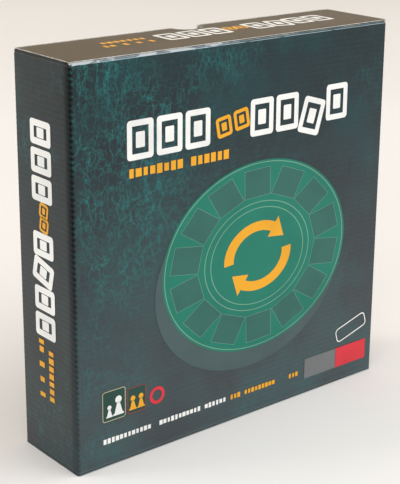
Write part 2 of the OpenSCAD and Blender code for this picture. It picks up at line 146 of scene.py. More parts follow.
# %% Colour and node helpers
# the three nodes used most: arithmetic, one range of values spread over another, a point's x, y and z
MATH, SPREAD, SPLIT = "ShaderNodeMath", "ShaderNodeMapRange", "ShaderNodeSeparateXYZ"


def linear(hex_colour):
    """An sRGB hex colour as the linear values that a shader works with."""
    parts = [int(hex_colour[i:i + 2], 16) / 255 for i in (1, 3, 5)]
    return [c / 12.92 if c <= 0.04045 else ((c + 0.055) / 1.055) ** 2.4 for c in parts] + [1.0]


def feed(tree, node, inputs):
    """Sets a node's inputs, or links them to a socket or to another node's first output."""
    for key, value in inputs.items():
        if isinstance(value, bpy.types.Node):
            value = value.outputs[0]
        if isinstance(value, bpy.types.NodeSocket):
            tree.links.new(value, node.inputs[key])
        else:
            node.inputs[key].default_value = value


def add(tree, kind, *inputs, **named):
    """Adds a node. A name in small letters is one of its settings, one with a capital an input."""
    node = tree.nodes.new(kind)
    for name, value in named.items():
        if name[0].islower():
            setattr(node, name, value)
    feed(tree, node, dict(enumerate(inputs)))
    feed(tree, node, {name.replace("_", " "): value for name, value in named.items() if name[0].isupper()})
    return node


def start_material(name, **values):
    """A material with one Principled shader, its plain values set, and where a point lies in millimetres."""
    material = bpy.data.materials.new(name)
    material.use_nodes = True
    tree = material.node_tree
    shader = tree.nodes["Principled BSDF"]
    feed(tree, shader, {key.replace("_", " "): value for key, value in values.items()})
    place = add(tree, "ShaderNodeTexCoord").outputs["Object"]
    return material, tree, shader, add(tree, "ShaderNodeVectorMath", place, Scale=1000, operation="SCALE")


def speckle(tree, place, grain_mm, detail=2.0, stretch=None):
    """Noise whose grains are about so many millimetres across; stretch shortens it along an axis."""
    if stretch:
        place = add(tree, "ShaderNodeVectorMath", place, stretch, operation="MULTIPLY")
    return add(tree, "ShaderNodeTexNoise", Vector=place, Scale=1 / grain_mm, Detail=detail)


def ramp(tree, factor, *stops):
    """A smooth run of colours: each stop is (position, hex colour)."""
    node = add(tree, "ShaderNodeValToRGB", factor)
    node.color_ramp.interpolation = "EASE"
    while len(node.color_ramp.elements) < len(stops):
        node.color_ramp.elements.new(0.5)
    for element, (position, hex_colour) in zip(node.color_ramp.elements, stops):
        element.position = position
        element.color = linear(hex_colour)
    return node


def blend_colours(tree, factor, first, second):
    """Goes from the first colour to the second as the factor goes from 0 to 1."""
    node = add(tree, "ShaderNodeMix", data_type="RGBA")
    feed(tree, node, {0: factor, 6: first, 7: second})
    return node.outputs[2]


def coat(tree, shader, colour, height, depth_mm):
    """Colour and fine relief, as deep as so many millimetres where the height goes from 0 to 1."""
    bump = add(tree, "ShaderNodeBump", Height=height, Distance=depth_mm * MM)
    feed(tree, shader, {"Base Color": colour, "Normal": bump})


print("dark print in linear light:", [round(v, 4) for v in linear("#14262b")])

# %% [markdown]
# ## Printed board
# The carton is E-flute: a wavy paper between two flat liners, 1.6 mm thick in all. The outer liner is offset
# printed and film laminated, so the ink is nearly black-green under a clear skin that mirrors the room. The
# flutes below show through it. Each crest is painted a little paler, as painted shading of the flutes that
# also stands for film scuffed paler there, and painted shade darkens the upright folds. Both follow from
# where a point lies, so no picture is needed.

# %% Flutes, and painted shade in the folds
def flute_wave(tree, place, axis):
    """A wave that rises once a flute, along the axis that crosses the flutes."""
    along = add(tree, SPLIT, place).outputs[axis]
    turns = add(tree, MATH, along, 2 * math.pi / FLUTE, operation="MULTIPLY")
    return add(tree, MATH, turns, operation="COSINE")


def painted_fold_shade(tree, place):
    """Up to 1 along the front's upright folds: painted shade in the crushed folds, bitten by the flutes, most
    at the top.
    """
    x, y, z = add(tree, SPLIT, place).outputs
    beside = add(tree, MATH, x, operation="ABSOLUTE")
    bitten = add(tree, MATH, flute_wave(tree, place, "Z"), 0.45, beside, operation="MULTIPLY_ADD")
    at_side = add(tree, SPREAD, Value=bitten, From_Min=132.5, From_Max=135.0, interpolation_type="SMOOTHSTEP")
    at_fold = add(tree, SPREAD, Value=y, From_Min=-22.5, From_Max=-29.0, interpolation_type="SMOOTHSTEP")
    high = add(tree, SPREAD, Value=z, From_Min=0, From_Max=170, To_Min=0.45)
    both = add(tree, MATH, at_side, at_fold, operation="MULTIPLY")
    return add(tree, MATH, both, high, operation="MULTIPLY")


print(f"{HEIGHT / FLUTE:.0f} flutes up each wall")

# %% [markdown]
# ## Clouds and veins
# The picture printed on the board imitates leather: soft dark clouds, with fine teal veins in patches. Low
# down the clouds are also painted lighter and greyer, as a painted reflection of the pale floor.
# The veins lie where a noise passes through its middle value, because that line is thin and branches.
# Three grains over each other keep the net from looking even.

# %% The two layers of the leather print, with painted reflection and flute shading
# how strong, grain in millimetres, detail, stretch
VEIN_LAYERS = ((1.0, 7, 3.5, (1, 1, 0.42)), (0.7, 4.6, 3.0, (1, 1, 0.7)), (0.7, 9, 4.5, (0.7, 0.7, 1)))


def leather_ground(tree, place, upward, leftward, facing):
    """The dark clouds: lighter and greyer low down as a painted reflection of the pale floor, plain off the
    front, and a little paler on each flute as painted shading that also stands for scuffed film.
    """
    clouds = speckle(tree, place, 48, 4.0)
    # painted reflection: low on the walls the mirrored pale floor is painted in as a lighter, greyer colour
    low = ramp(tree, clouds, (0.36, "#3b4145"), (0.62, "#3d4d50"))
    high = ramp(tree, clouds, (0.36, "#14262b"), (0.50, "#142b30"), (0.66, "#10353a"))
    plain = add(tree, MATH, facing, -0.8, 0.8, operation="MULTIPLY_ADD")
    ground = blend_colours(tree, plain, blend_colours(tree, upward, low, high), linear("#16191b"))
    # painted shading of the flutes: each crest is painted a little paler, most at the lower right, also
    # standing for film scuffed paler there
    crest = add(tree, MATH, flute_wave(tree, place, "Z"), 0.5, 0.5, operation="MULTIPLY_ADD")
    flute_shading_and_scuff = add(tree, MATH, crest, 0.075, operation="MULTIPLY")
    kept = [add(tree, MATH, share, loss, 1.0, operation="MULTIPLY_ADD")
            for share, loss in ((upward, -0.9), (leftward, -0.6))]
    for share in [speckle(tree, place, 40, 3.0)] + kept:
        flute_shading_and_scuff = add(tree, MATH, flute_shading_and_scuff, share, operation="MULTIPLY")
    return blend_colours(tree, flute_shading_and_scuff, ground, linear("#7c888a")), clouds


def leather_veins(tree, place, upward, leftward, facing):
    """How much teal there is: thin branching lines, in patches that gather at the front's upper left."""
    veins = 0.0
    for weight, grain, detail, stretch in VEIN_LAYERS:
        away = add(tree, MATH, speckle(tree, place, grain, detail, stretch), 0.5, operation="SUBTRACT")
        size = add(tree, MATH, away, operation="ABSOLUTE")
        hair = add(tree, SPREAD, Value=size, From_Min=0.034, From_Max=0.0, interpolation_type="SMOOTHSTEP")
        veins = add(tree, MATH, hair, weight, veins, operation="MULTIPLY_ADD")
    where = speckle(tree, place, 55, 3.0)
    for gain, shares in ((0.07, (facing,)), (0.30, (facing, upward, upward))):
        patch = leftward
        for share in shares:
            patch = add(tree, MATH, patch, share, operation="MULTIPLY")
        where = add(tree, MATH, patch, gain, where, operation="MULTIPLY_ADD")
    shown = add(tree, SPREAD, Value=where, From_Min=0.50, From_Max=0.88, To_Min=0.04, To_Max=0.42,
                interpolation_type="SMOOTHSTEP")
    return add(tree, MATH, veins, shown, operation="MULTIPLY", use_clamp=True)


print("vein grains in millimetres:", [layer[1] for layer in VEIN_LAYERS])

# %% [markdown]
# ## The whole print under its film
# All that is printed or shows wear on the outside, and the light and shade painted on it, is one tree of
# colours, so that walls, flaps and creases match where they meet. The film over it is a clear glossy skin,
# and the paper below is never quite flat.

# %% Colour of the print, and the film
FILM_GLOSS = 0.3
FILM_IOR = 1.37       # the film and the ink below it mirror as one, a little less than plain plastic


def leather_print(tree, place):
    """The printed leather's colour with its painted reflection and flute shading, the lid's brown, a painted
    highlight line near the foot and painted shade in the folds.
    """
    x, y, z = add(tree, SPLIT, place).outputs
    shares = (add(tree, SPREAD, Value=z, From_Min=10, From_Max=262, interpolation_type="SMOOTHSTEP"),
              add(tree, SPREAD, Value=x, From_Min=20, From_Max=-135),
              add(tree, SPREAD, Value=y, From_Min=-28, From_Max=-31, To_Min=0.25))
    colour, clouds = leather_ground(tree, place, *shares)
    colour = blend_colours(tree, leather_veins(tree, place, *shares), colour, linear("#1c7674"))
    on_lid = add(tree, SPREAD, Value=z, From_Min=268.2, From_Max=269.4)
    colour = blend_colours(tree, on_lid, colour, ramp(tree, clouds, (0.40, "#211b13"), (0.62, "#302b22")))
    # painted highlight: a thin pale line 2 mm above the foot, at the bend of the bottom crease
    from_line = add(tree, MATH, z, 2.0, operation="SUBTRACT")
    distance = add(tree, MATH, from_line, operation="ABSOLUTE")
    foot_highlight = add(tree, SPREAD, Value=distance, From_Min=0.5, From_Max=0.2, To_Max=0.3)
    colour = blend_colours(tree, foot_highlight, colour, linear("#9fb0b0"))
    # painted shade: the upright folds are blended to near black
    return blend_colours(tree, painted_fold_shade(tree, place), colour, linear("#050d10"))


def coated_board():
    """Offset print under gloss film: the film mirrors, the paper below is never quite flat."""
    material, tree, shader, place = start_material(
        "laminated_offset_print", Roughness=FILM_GLOSS, IOR=FILM_IOR)
    # painted shade: the folds also mirror less, so they stay dark
    mirror = add(tree, SPREAD, Value=painted_fold_shade(tree, place), To_Min=0.5, To_Max=0.14)
    feed(tree, shader, {"Specular IOR Level": mirror})
    coat(tree, shader, leather_print(tree, place), speckle(tree, place, 1.1, 3.0), 0.02)
    return material


PRINT = coated_board()
print("made", PRINT.name, "with", len(PRINT.node_tree.nodes), "nodes")

# %% [markdown]
# ## Raw board
# Where board is cut or unprinted it shows white-lined paper: matt, with fibres a few tenths of a
# millimetre wide and darker hollows between them. One noise gives both, as colour and as relief.

# %% Bare liner and cut edge
FIBRE_STRETCH = (1, 0.4, 1)


def raw_board(name, light, dark):
    """Uncoated white-lined board: matt, with fibres a few tenths of a millimetre wide."""
    material, tree, shader, place = start_material(name, Roughness=0.85, IOR=1.45)
    fibres = speckle(tree, place, 0.9, 5.0, FIBRE_STRETCH)
    mixed = add(tree, MATH, speckle(tree, place, 25), 0.5, fibres, operation="MULTIPLY_ADD")
    coat(tree, shader, ramp(tree, mixed, (0.55, dark), (0.95, light)), fibres, 0.03)
    return material


LINER = raw_board("uncoated_white_liner", "#d9d5cc", "#c3beb3")
CUT = raw_board("cut_board_edge", "#f1ece2", "#b9b1a3")
print("raw board:", LINER.name, "and", CUT.name)

# %% [markdown]
# ## Worn film, and painted light on the front fold
# Along a crease the film cracks, and the white liner shows through as broken pale lines that run with it.
# Where the fold was crushed flat the film has stretched and gone pale, and a reflection of the bright room is
# painted on it in pale blue-grey, most of all at the left. Cracks opened widely also stand for a painted
# highlight line at the borders of that flat face. Noise that is drawn out along the crease makes all three.

# %% Cracked and stretched film, with painted reflection and highlight
def crease_cracks_and_highlight(name, wear_and_highlight):
    """Film and ink cracked along a crease: pale broken lines that run with it; opened widely, they also stand
    for a painted highlight.
    """
    material, tree, shader, place = start_material(name, Roughness=0.34, IOR=1.45)
    cracks = speckle(tree, place, 0.9, 5.0, (0.14, 1, 1))
    both = add(tree, MATH, speckle(tree, place, 30), 0.7, cracks, operation="MULTIPLY_ADD")
    open_film = add(tree, SPREAD, Value=both, From_Min=1.05 - wear_and_highlight, From_Max=1.2 - wear_and_highlight,
                    interpolation_type="SMOOTHSTEP")
    colour = blend_colours(tree, open_film, leather_print(tree, place), linear("#a9b8bd"))
    coat(tree, shader, colour, both, 0.12)
    return material


def stretched_film_and_sheen():
    """The flat face of a crushed fold: stretched film with a painted reflection of the bright room, palest at
    the left.
    """
    material, tree, shader, place = start_material("stretched_film_and_painted_sheen_on_fold", Roughness=0.42, IOR=1.45)
    leftward = add(tree, SPREAD, Value=add(tree, SPLIT, place), From_Min=60, From_Max=-40,
                   interpolation_type="SMOOTHSTEP")
    cloudy = speckle(tree, place, 5, 4.0, (0.3, 1, 1))
    mottled = add(tree, MATH, cloudy, 1.5, -0.32, operation="MULTIPLY_ADD")
    pale = add(tree, MATH, leftward, 0.52, mottled, operation="MULTIPLY_ADD")
    # painted reflection: the slanting face is painted pale blue-grey, as the bright room that it mirrors,
    # most of all at the left
    colour = ramp(tree, pale, (0.35, "#16373b"), (0.65, "#314d54"), (0.95, "#5f717a"), (1.0, "#b0b7b9"))
    coat(tree, shader, colour, cloudy, 0.10)
    return material


CREASE = crease_cracks_and_highlight("cracked_film_crease", 0.10)
# cracks opened widely: cracked film plus a painted highlight line at the borders of the front fold's flat
# face
EDGE_LINE_CRACKS_AND_HIGHLIGHT = crease_cracks_and_highlight("cracked_edge_and_painted_highlight", 0.42)
# stretched film on the front fold's face, with a painted reflection of the room
FOLD_FACE_FILM_AND_SHEEN = stretched_film_and_sheen()
print("worn film:", CREASE.name, EDGE_LINE_CRACKS_AND_HIGHLIGHT.name, FOLD_FACE_FILM_AND_SHEEN.name)

# %% [markdown]
# ## Inks
# The drawing's inks are flat colours, a little tired in clouds. Each keeps the faint ripple of the
# flutes below, because ink has no thickness of its own. On the lid the flutes run the other way.

# %% Offset inks
def ink(name, hex_colour, axis="Z"):
    """One flat offset ink under the film; axis crosses the flutes below it."""
    material, tree, shader, place = start_material(name, Roughness=FILM_GLOSS, IOR=FILM_IOR)
    tired = "#" + "".join(f"{int(int(hex_colour[i:i + 2], 16) * 0.95):02x}" for i in (1, 3, 5))
    colour = ramp(tree, speckle(tree, place, 30), (0.30, tired), (0.60, hex_colour))
    coat(tree, shader, colour, flute_wave(tree, place, axis), 0.012)
    return material


WALL_INKS = {name: ink(name + "_ink", hex_colour) for name, hex_colour in (
    ("white", "#f2f2ee"), ("gold", "#eda81f"), ("red", "#d9303d"), ("plate_green", "#0e7763"),
    ("plate_side", "#46595a"), ("cell_green", "#2c655b"), ("pale_line", "#6fa187"), ("cool_grey", "#717475"),
    ("badge_green", "#1d453b"), ("sand", "#b3ae8c"), ("dull_red", "#8a3c40"))}
LID_INKS = {"white": ink("white_ink_on_lid", "#f2f2ee", "Y"), "gold": ink("gold_ink_on_lid", "#eda81f", "Y")}
print(len(WALL_INKS), "inks on the walls,", len(LID_INKS), "on the lid")

# %% [markdown]
# ## From a mesh to a piece
# A mesh is only points and faces. It becomes a piece when it is linked and rides on a body of the frame.
# Faces that meet at a small angle are shaded smooth, as moulded or rolled ones are.

# %% Mesh helpers
def new_mesh(name, points, faces, materials=(), slots=()):
    """A mesh with its materials; slots says which of them each face has."""
    mesh = bpy.data.meshes.new(name)
    mesh.from_pydata(points, [], faces)
    for material in materials:
        mesh.materials.append(material)
    if slots:
        mesh.polygons.foreach_set("material_index", slots)
    return mesh


@contextmanager
def opened(mesh):
    """Opens a mesh for cutting and joining, and writes it back."""
    shape = bmesh.new()
    shape.from_mesh(mesh)
    yield shape
    shape.to_mesh(mesh)
    shape.free()


def slice_at(shape, place, normal, keep_all=True):
    """Cuts an opened mesh at a plane, and drops what lies beyond it unless all is kept."""
    bmesh.ops.bisect_plane(shape, geom=shape.verts[:] + shape.edges[:] + shape.faces[:],
                           plane_co=place, plane_no=normal, clear_outer=not keep_all)


def finish_piece(name, mesh, body, smooth_angle=40):
    """Links a mesh as a piece that rides on a body, with smooth faces between sharp edges."""
    piece = in_scene(name, mesh)
    mesh.shade_smooth()
    mesh.set_sharp_from_angle(angle=math.radians(smooth_angle))
    if body:
        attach(piece, body)
    return piece


print(len(nodes), "CAD nodes wait for their looks")

# %% [markdown]
# ## From points to a closed sheet
# Board is a thin solid, so most pieces here start as two grids of points, the outer skin and the inner
# skin. Stitching the two along their borders closes them. Building the points in code keeps control of
# every fold radius, and the faces come out the same way round each time.

# %% A closed sheet
# on the front crease, slot 3 holds stretched film with a painted reflection and slot 4 cracked film with a
# painted highlight line
SKIN, BACK, EDGE, PALE, BORDER_CRACKS_AND_HIGHLIGHT = range(5)    # a sheet's material slots; PALE and BORDER_CRACKS_AND_HIGHLIGHT are on the front crease


def sheet_mesh(name, outer, inner, materials, ring=False):
    """Closes two equal grids of points (millimetres) into a thin solid: skin, back and cut edges."""
    rows, columns = len(outer), len(outer[0])
    points = [Vector(p) * MM for grid in (outer, inner) for row in grid for p in row]
    back = rows * columns
    faces, slots = [], []

    def quad(a, b, c, d, slot):
        faces.append((a, b, c, d))
        slots.append(slot)

    around = columns if ring else columns - 1
    for r in range(rows - 1):
        for c in range(around):
            n = (c + 1) % columns
            a, b, d, e = r * columns + c, r * columns + n, (r + 1) * columns + n, (r + 1) * columns + c
            quad(a, b, d, e, SKIN)
            quad(back + e, back + d, back + b, back + a, BACK)
    for c in range(around):
        n = (c + 1) % columns
        top = (rows - 1) * columns
        quad(back + c, back + n, n, c, EDGE)
        quad(top + c, top + n, back + top + n, back + top + c, EDGE)
    if not ring:
        for r in range(rows - 1):
            a, b = r * columns, (r + 1) * columns
            quad(a, b, back + b, back + a, EDGE)
            a, b = a + columns - 1, b + columns - 1
            quad(b, a, back + a, back + b, EDGE)
    mesh = new_mesh(name, points, faces, materials, slots)
    mesh.validate()
    print(f"{name}: {len(mesh.polygons)} faces")
    return mesh


def ripple(distance_mm):
    """The liner dips between the flutes: -1 in a hollow, 0 on a crest."""
    return 0.5 * math.cos(2 * math.pi * distance_mm / FLUTE) - 0.5


def drift(x, y, z, size, seed=0.0):
    """Slow unevenness between about -1 and 1, for a point in millimetres."""
    return noise.noise(Vector((x / size + seed, y / size - seed, z / size + 2 * seed)))


# %% [markdown]
# ## The carton's walls
# The four walls are one strip of board, creased at three corners and glued at the fourth. So they are
# one ring of points here, not four plates. The flutes lie flat round the carton, and show twice: as a
# faint ripple down each wall, and as a scalloped edge at the front's left fold, where they were crushed.

# %% Stations round the folded tube
NOTCH = 12.5          # radius of the thumb notch
BACK_WALL = 2
FOLD_STEPS = 7


def plan_stations(half_w, half_d, radius):
    """Points round a rounded rectangle: (x, y, outward x, outward y, how far inside a fold)."""
    made = []
    corners = [(1, -1, -90), (1, 1, 0), (-1, 1, 90), (-1, -1, 180)]
    for i, (sx, sy, start) in enumerate(corners):
        before = corners[i - 1]
        x0, y0 = before[0] * (half_w - radius), before[1] * (half_d - radius)
        x1, y1 = sx * (half_w - radius), sy * (half_d - radius)
        out_x, out_y = math.cos(math.radians(start)), math.sin(math.radians(start))
        length = math.hypot(x1 - x0, y1 - y0)
        parts = max(3, round(length / 18))
        spots = [k / parts for k in range(parts + 1)]
        if i == BACK_WALL:
            round_notch = [0.5 + NOTCH * math.sin(math.radians(a)) / length for a in range(-90, 91, 12)]
            spots = sorted(spots + round_notch)
        for t in spots:
            made.append((x0 + (x1 - x0) * t + out_x * radius, y0 + (y1 - y0) * t + out_y * radius,
                         out_x, out_y, 0.0))
        for k in range(1, FOLD_STEPS):
            angle = math.radians(start + 90 * k / FOLD_STEPS)
            out_x, out_y, fold = math.cos(angle), math.sin(angle), math.sin(math.pi * k / FOLD_STEPS)
            made.append((x1 + out_x * radius, y1 + out_y * radius, out_x, out_y, fold))
    return made


print(len(plan_stations(HALF_W, HALF_D, FOLD)), "stations round the carton")

# %% [markdown]
# ## The skins of the walls
# Each station round the box becomes a column of points. The rows are close enough to show the flutes,
# and the outer skin dips between them. Where the front and back meet the lid, the cut top slopes.

# %% Outer and inner skin
WALL_ROWS = 440       # about six to each flute


def wall_top(x, out_x, out_y, inside):
    """The height of the wall's cut top: the front slopes for the lid's crease, the back has a thumb dip."""
    if out_y < 0:
        along = max(0.0, 1 - 1.6 * abs(out_x))
        return SIDE_TOP + along * (front_high.z / MM - SIDE_TOP - 0.1) * (1.0 if inside else 0.06)
    dip = 0.4 * math.sqrt(max(0.0, NOTCH ** 2 - x ** 2))
    return SIDE_TOP + max(0.0, 1 - 1.15 * out_x ** 2) * (back_high.z / MM - SIDE_TOP - 0.1) - dip


def wall_point(station, level, inside):
    """One point of the wall's skin; level runs from 0 at the bottom crease to 1 at the top."""
    x, y, out_x, out_y, fold = station
    low = front_low.z / MM + 0.02
    z = low + (wall_top(x, out_x, out_y, inside) - low) * level
    if inside:
        return x, y, z
    crest = 0.06 + (0.10 * fold if x < 0 and y < 0 else 0.0)
    sag = 0.07 * (drift(x, y, z, 60) - 1) * (1 - fold)
    rounding = 0.35 * max(0.0, 1 - (z - low) / 0.9) ** 2
    push = crest * ripple(z) + sag - rounding
    return x + out_x * push, y + out_y * push, z


def wall_grid(half_w, half_d, radius, inside):
    """One skin of the four walls, from the bottom crease up."""
    stations = plan_stations(half_w, half_d, radius)
    return [[wall_point(s, k / WALL_ROWS, inside) for s in stations] for k in range(WALL_ROWS + 1)]


def make_walls():
    """The tube of the four walls, printed outside and bare inside."""
    outer = wall_grid(HALF_W - UNDER, HALF_D - UNDER, FOLD, False)
    inner = wall_grid(HALF_W - BOARD, HALF_D - BOARD, 0.25, True)
    mesh = sheet_mesh("carton_walls", outer, inner, [PRINT, LINER, CUT], ring=True)
    walls = finish_piece("carton_walls", mesh, "carton", 50)
    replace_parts(walls, "front_panel", "back_panel", "left_panel", "right_panel")


make_walls()

# %% [markdown]
# ## The lid
# The lid is the same board, with its flutes lying along its long side. Its left and right edges are
# cut, so they show what the board is made of. Each liner is its own thin sheet here, and the wavy
# paper between them comes next. The rear edge rounds down to the tuck flap and has the thumb notch.

# %% Lid liners with the thumb notch
REAR = lid_high.y / MM
LID_HALF = lid_high.x / MM
LID_TOP = HEIGHT - 0.06
LID_ROWS = 110
LINER_T = 0.42


def lid_edge(x):
    """How far back the lid reaches at x: a half circle is cut out of the middle."""
    return REAR - 0.05 - math.sqrt(max(0.0, NOTCH ** 2 - x ** 2))


def lid_columns():
    """Stations along the lid, close together where the notch turns."""
    notch = [NOTCH * math.sin(math.radians(a)) for a in range(-90, 91, 6)]
    left = [-LID_HALF + 0.25 + k * (LID_HALF - NOTCH - 0.25) / 12 for k in range(12)]
    return left + notch + [-x for x in reversed(left)]


def lid_skin(top):
    """A grid over the lid from its front crease to its rear edge, at one height above the board."""
    start = -HALF_D + 1.1
    rows = []
    for k in range(LID_ROWS + 1):
        row = []
        for x in lid_columns():
            y = start + (lid_edge(x) - start) * k / LID_ROWS
            z = top
            if top == LID_TOP:
                rounded = max(0.0, y - (REAR - 1.3)) if abs(x) > NOTCH else 0.0
                z += 0.03 * ripple(y) + 0.03 * (drift(x, y, 0, 45) - 1) - 0.45 * rounded ** 2
            row.append((x, y, z))
        rows.append(row)
    return rows


def make_lid():
    """The lid's two liners, each a thin sheet; the upper one stands for the whole lid."""
    skins = [lid_skin(z) for z in (LID_TOP, LID_TOP - LINER_T, LID_UNDER + LINER_T, LID_UNDER + 0.02)]
    top = sheet_mesh("lid_top_liner", skins[0], skins[1], [PRINT, LINER, CUT])
    low = sheet_mesh("lid_under_liner", skins[2], skins[3], [LINER, LINER, CUT])
    lid = finish_piece("lid_top_liner", top, "lid", 50)
    finish_piece("lid_under_liner", low, "lid", 50)
    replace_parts(lid, "lid_panel")


make_lid()

# %% [markdown]
# ## The wavy paper inside the board
# What makes corrugated board stiff is a paper pressed into a wave and glued between the liners. A wave
# follows a rule, so Geometry Nodes make it: a grid is lifted by a cosine, and the tree's inputs are the
# pitch and the height that a board maker would name. The result is trimmed to the board's outline.

# %% Geometry Nodes trees with named inputs
SOCKETS = {float: "NodeSocketFloat", int: "NodeSocketInt", type(None): "NodeSocketMaterial"}


def new_tree(name, **inputs):
    """A Geometry Nodes tree with named inputs; returns it, its input node's sockets and the identifiers."""
    tree = bpy.data.node_groups.new(name, "GeometryNodeTree")
    tree.interface.new_socket(name="Geometry", in_out="OUTPUT", socket_type="NodeSocketGeometry")
    names = {}
    for key, value in inputs.items():
        socket = tree.interface.new_socket(name=key, in_out="INPUT", socket_type=SOCKETS[type(value)])
        if value is not None:
            socket.default_value = value
        names[key] = socket.identifier
    return tree, add(tree, "NodeGroupInput").outputs, names


def end_tree(tree, geometry, material):
    """The last nodes of each tree: instances become real, and get their material."""
    real = add(tree, "GeometryNodeRealizeInstances", Geometry=geometry)
    dressed = add(tree, "GeometryNodeSetMaterial", Geometry=real, Material=material)
    add(tree, "NodeGroupOutput", Geometry=dressed)


def run_tree(made, **values):
    """Runs a tree with these inputs on an empty carrier, and returns the result as a plain mesh."""
    tree, names = made
    carrier = in_scene("carrier", bpy.data.meshes.new("carrier"))
    modifier = carrier.modifiers.new("made_by_nodes", "NODES")
    modifier.node_group = tree
    for key, value in values.items():
        modifier[names[key]] = value
    graph = bpy.context.evaluated_depsgraph_get()
    graph.update()
    mesh = bpy.data.meshes.new_from_object(carrier.evaluated_get(graph), depsgraph=graph)
    bpy.data.objects.remove(carrier)
    return mesh


print("kinds of tree input:", ", ".join(SOCKETS.values()))

# %% [markdown]
# ## A cosine for the wave
# The tree lifts a flat grid by a cosine of its length, with a whole number of steps to each wave. Then
# the sheet gets its paper thickness and is cut to the lid's outline, clear of the thumb notch.

# %% Fluted paper in the lid
PAPER_T = 0.16


def fluted_paper_tree():
    """A sheet lifted by a cosine of its length, a whole number of steps to each wave."""
    tree, given, names = new_tree(
        "fluted_paper", Along=0.2, Across=0.06, Pitch=0.00364, Rise=0.0009, Steps=8, Paper=None)
    count = add(tree, MATH, given["Across"], given["Pitch"], operation="DIVIDE")
    lines = add(tree, MATH, count, given["Steps"], 1.0, operation="MULTIPLY_ADD")
    grid = add(tree, "GeometryNodeMeshGrid", Size_X=given["Along"], Size_Y=given["Across"],
               Vertices_X=2, Vertices_Y=lines)
    across = add(tree, SPLIT, add(tree, "GeometryNodeInputPosition")).outputs["Y"]
    turns = add(tree, MATH, across, given["Pitch"], operation="DIVIDE")
    angle = add(tree, MATH, turns, 2 * math.pi, operation="MULTIPLY")
    wave = add(tree, MATH, angle, operation="COSINE")
    half = add(tree, MATH, given["Rise"], 0.5, operation="MULTIPLY")
    lift = add(tree, "ShaderNodeCombineXYZ", Z=add(tree, MATH, wave, half, operation="MULTIPLY"))
    lifted = add(tree, "GeometryNodeSetPosition", Geometry=grid, Offset=lift)
    end_tree(tree, lifted, given["Paper"])
    return tree, names


def fill_lid(name, outline, low, high):
    """Fills part of the lid with fluted paper; outline is convex and turns anticlockwise."""
    along, across = (2 * max(abs(point[axis]) for point in outline) + 8 for axis in (0, 1))
    mesh = run_tree(FLUTED_PAPER, Along=along * MM, Across=round(across / FLUTE) * FLUTE * MM,
                    Pitch=FLUTE * MM, Rise=(high - low - 0.2) * MM, Steps=8, Paper=LINER)
    with opened(mesh) as shape:
        for (x0, y0), (x1, y1) in zip(outline, outline[1:] + outline[:1]):
            slice_at(shape, Vector((x0, y0, 0)) * MM, Vector((y1 - y0, x0 - x1, 0)), keep_all=False)
        bmesh.ops.recalc_face_normals(shape, faces=shape.faces[:])
        bmesh.ops.solidify(shape, geom=shape.faces[:], thickness=PAPER_T * MM)
    mesh.transform(Matrix.Translation((0, 0, (low + high) / 2 * MM)))
    finish_piece(name, mesh, "lid", 60)
    print(f"{name}: {len(mesh.polygons)} faces of fluted paper")


FLUTED_PAPER = fluted_paper_tree()
LID_FRONT, BESIDE_NOTCH = 1.4 - HALF_D, NOTCH + 0.4
for name, x0, x1, rear in (("lid_flutes_left", 0.30 - LID_HALF, -BESIDE_NOTCH, REAR - 0.9),
                           ("lid_flutes_right", BESIDE_NOTCH, LID_HALF - 0.30, REAR - 0.9),
                           ("lid_flutes_middle", -BESIDE_NOTCH, BESIDE_NOTCH, REAR - NOTCH - 0.6)):
    fill_lid(name, [(x0, LID_FRONT), (x1, LID_FRONT), (x1, rear), (x0, rear)],
             LID_UNDER + LINER_T, LID_TOP - LINER_T)

# %% [markdown]
# ## Creases
# A crease is board that was crushed along a line so that it folds there. Its skin belongs to both boards, so
# it is a strip of its own, set in place once and not carried by a body. Handling has cracked and dented it,
# most of all at the left and in the middle.

# %% A strip with the dents of a crushed fold
CREASE_STEP = 1.5     # distance between two stations along a crease


def strip(name, profile, start, stop, thick, unevenness, material, axis="x", seed=0.0):
    """Sweeps a profile of (across, up) points along x or y, with the dents of a crushed fold."""
    count = max(8, round(abs(stop - start) / CREASE_STEP))
    outer, inner = [], []
    for k in range(len(profile)):
        a, b = profile[max(k - 1, 0)], profile[min(k + 1, len(profile) - 1)]
        length = math.hypot(b[0] - a[0], b[1] - a[1])
        normal = (-(b[1] - a[1]) / length, (b[0] - a[0]) / length)
        middle = math.sin(math.pi * k / (len(profile) - 1))
        outside, inside = [], []
        for i in range(count + 1):
            along = start + (stop - start) * i / count
            dent = drift(along, 7 * k, 0, 16, seed) + 0.5 * drift(along, 3 * k, 5, 5, seed)
            push = unevenness * middle * min(0.0, dent - 0.2)
            for row, depth in ((outside, push), (inside, push - thick)):
                across, up = profile[k][0] + normal[0] * depth, profile[k][1] + normal[1] * depth
                row.append((along, across, up) if axis == "x" else (across, along, up))
        outer.append(outside)
        inner.append(inside)
    return sheet_mesh(name, outer, inner, [material, LINER, CUT])


print("a crease has a station each", CREASE_STEP, "mm")

# %% [markdown]
# ## The crease between front and lid
# The front fold was crushed to a flat, slanting face; its film is stretched and gone pale there, and a
# reflection of the bright room is painted on it. At the face's borders the film is cracked through, and a
# highlight line is painted there. The strip's ends draw in over the rounded corners of the walls.

# %% Front crease
FLAT = 2.3            # height and depth of the flat face


def front_crease_wear_and_painted_light(mesh, y, z):
    """Gives the crushed face its stretched film with painted reflection, and its borders cracked film with a
    painted highlight line; y and z are the outer faces.
    """
    for face in mesh.polygons:
        face.flip()
        middle = face.center / MM
        upper = z - (0.10 if middle.x < 0 else 0.42)
        if face.material_index == EDGE and middle.z < LID_UNDER:
            face.material_index = SKIN
        elif face.material_index == SKIN and z - FLAT - 0.2 < middle.z < upper and middle.y < y + FLAT:
            at_border = middle.z < z - FLAT + 0.12 or middle.z > z - 0.42 or abs(middle.x) > LID_HALF - 1.2
            # borders: cracks with a painted highlight line; between them: stretched film with a painted
            # reflection
            face.material_index = BORDER_CRACKS_AND_HIGHLIGHT if at_border else PALE


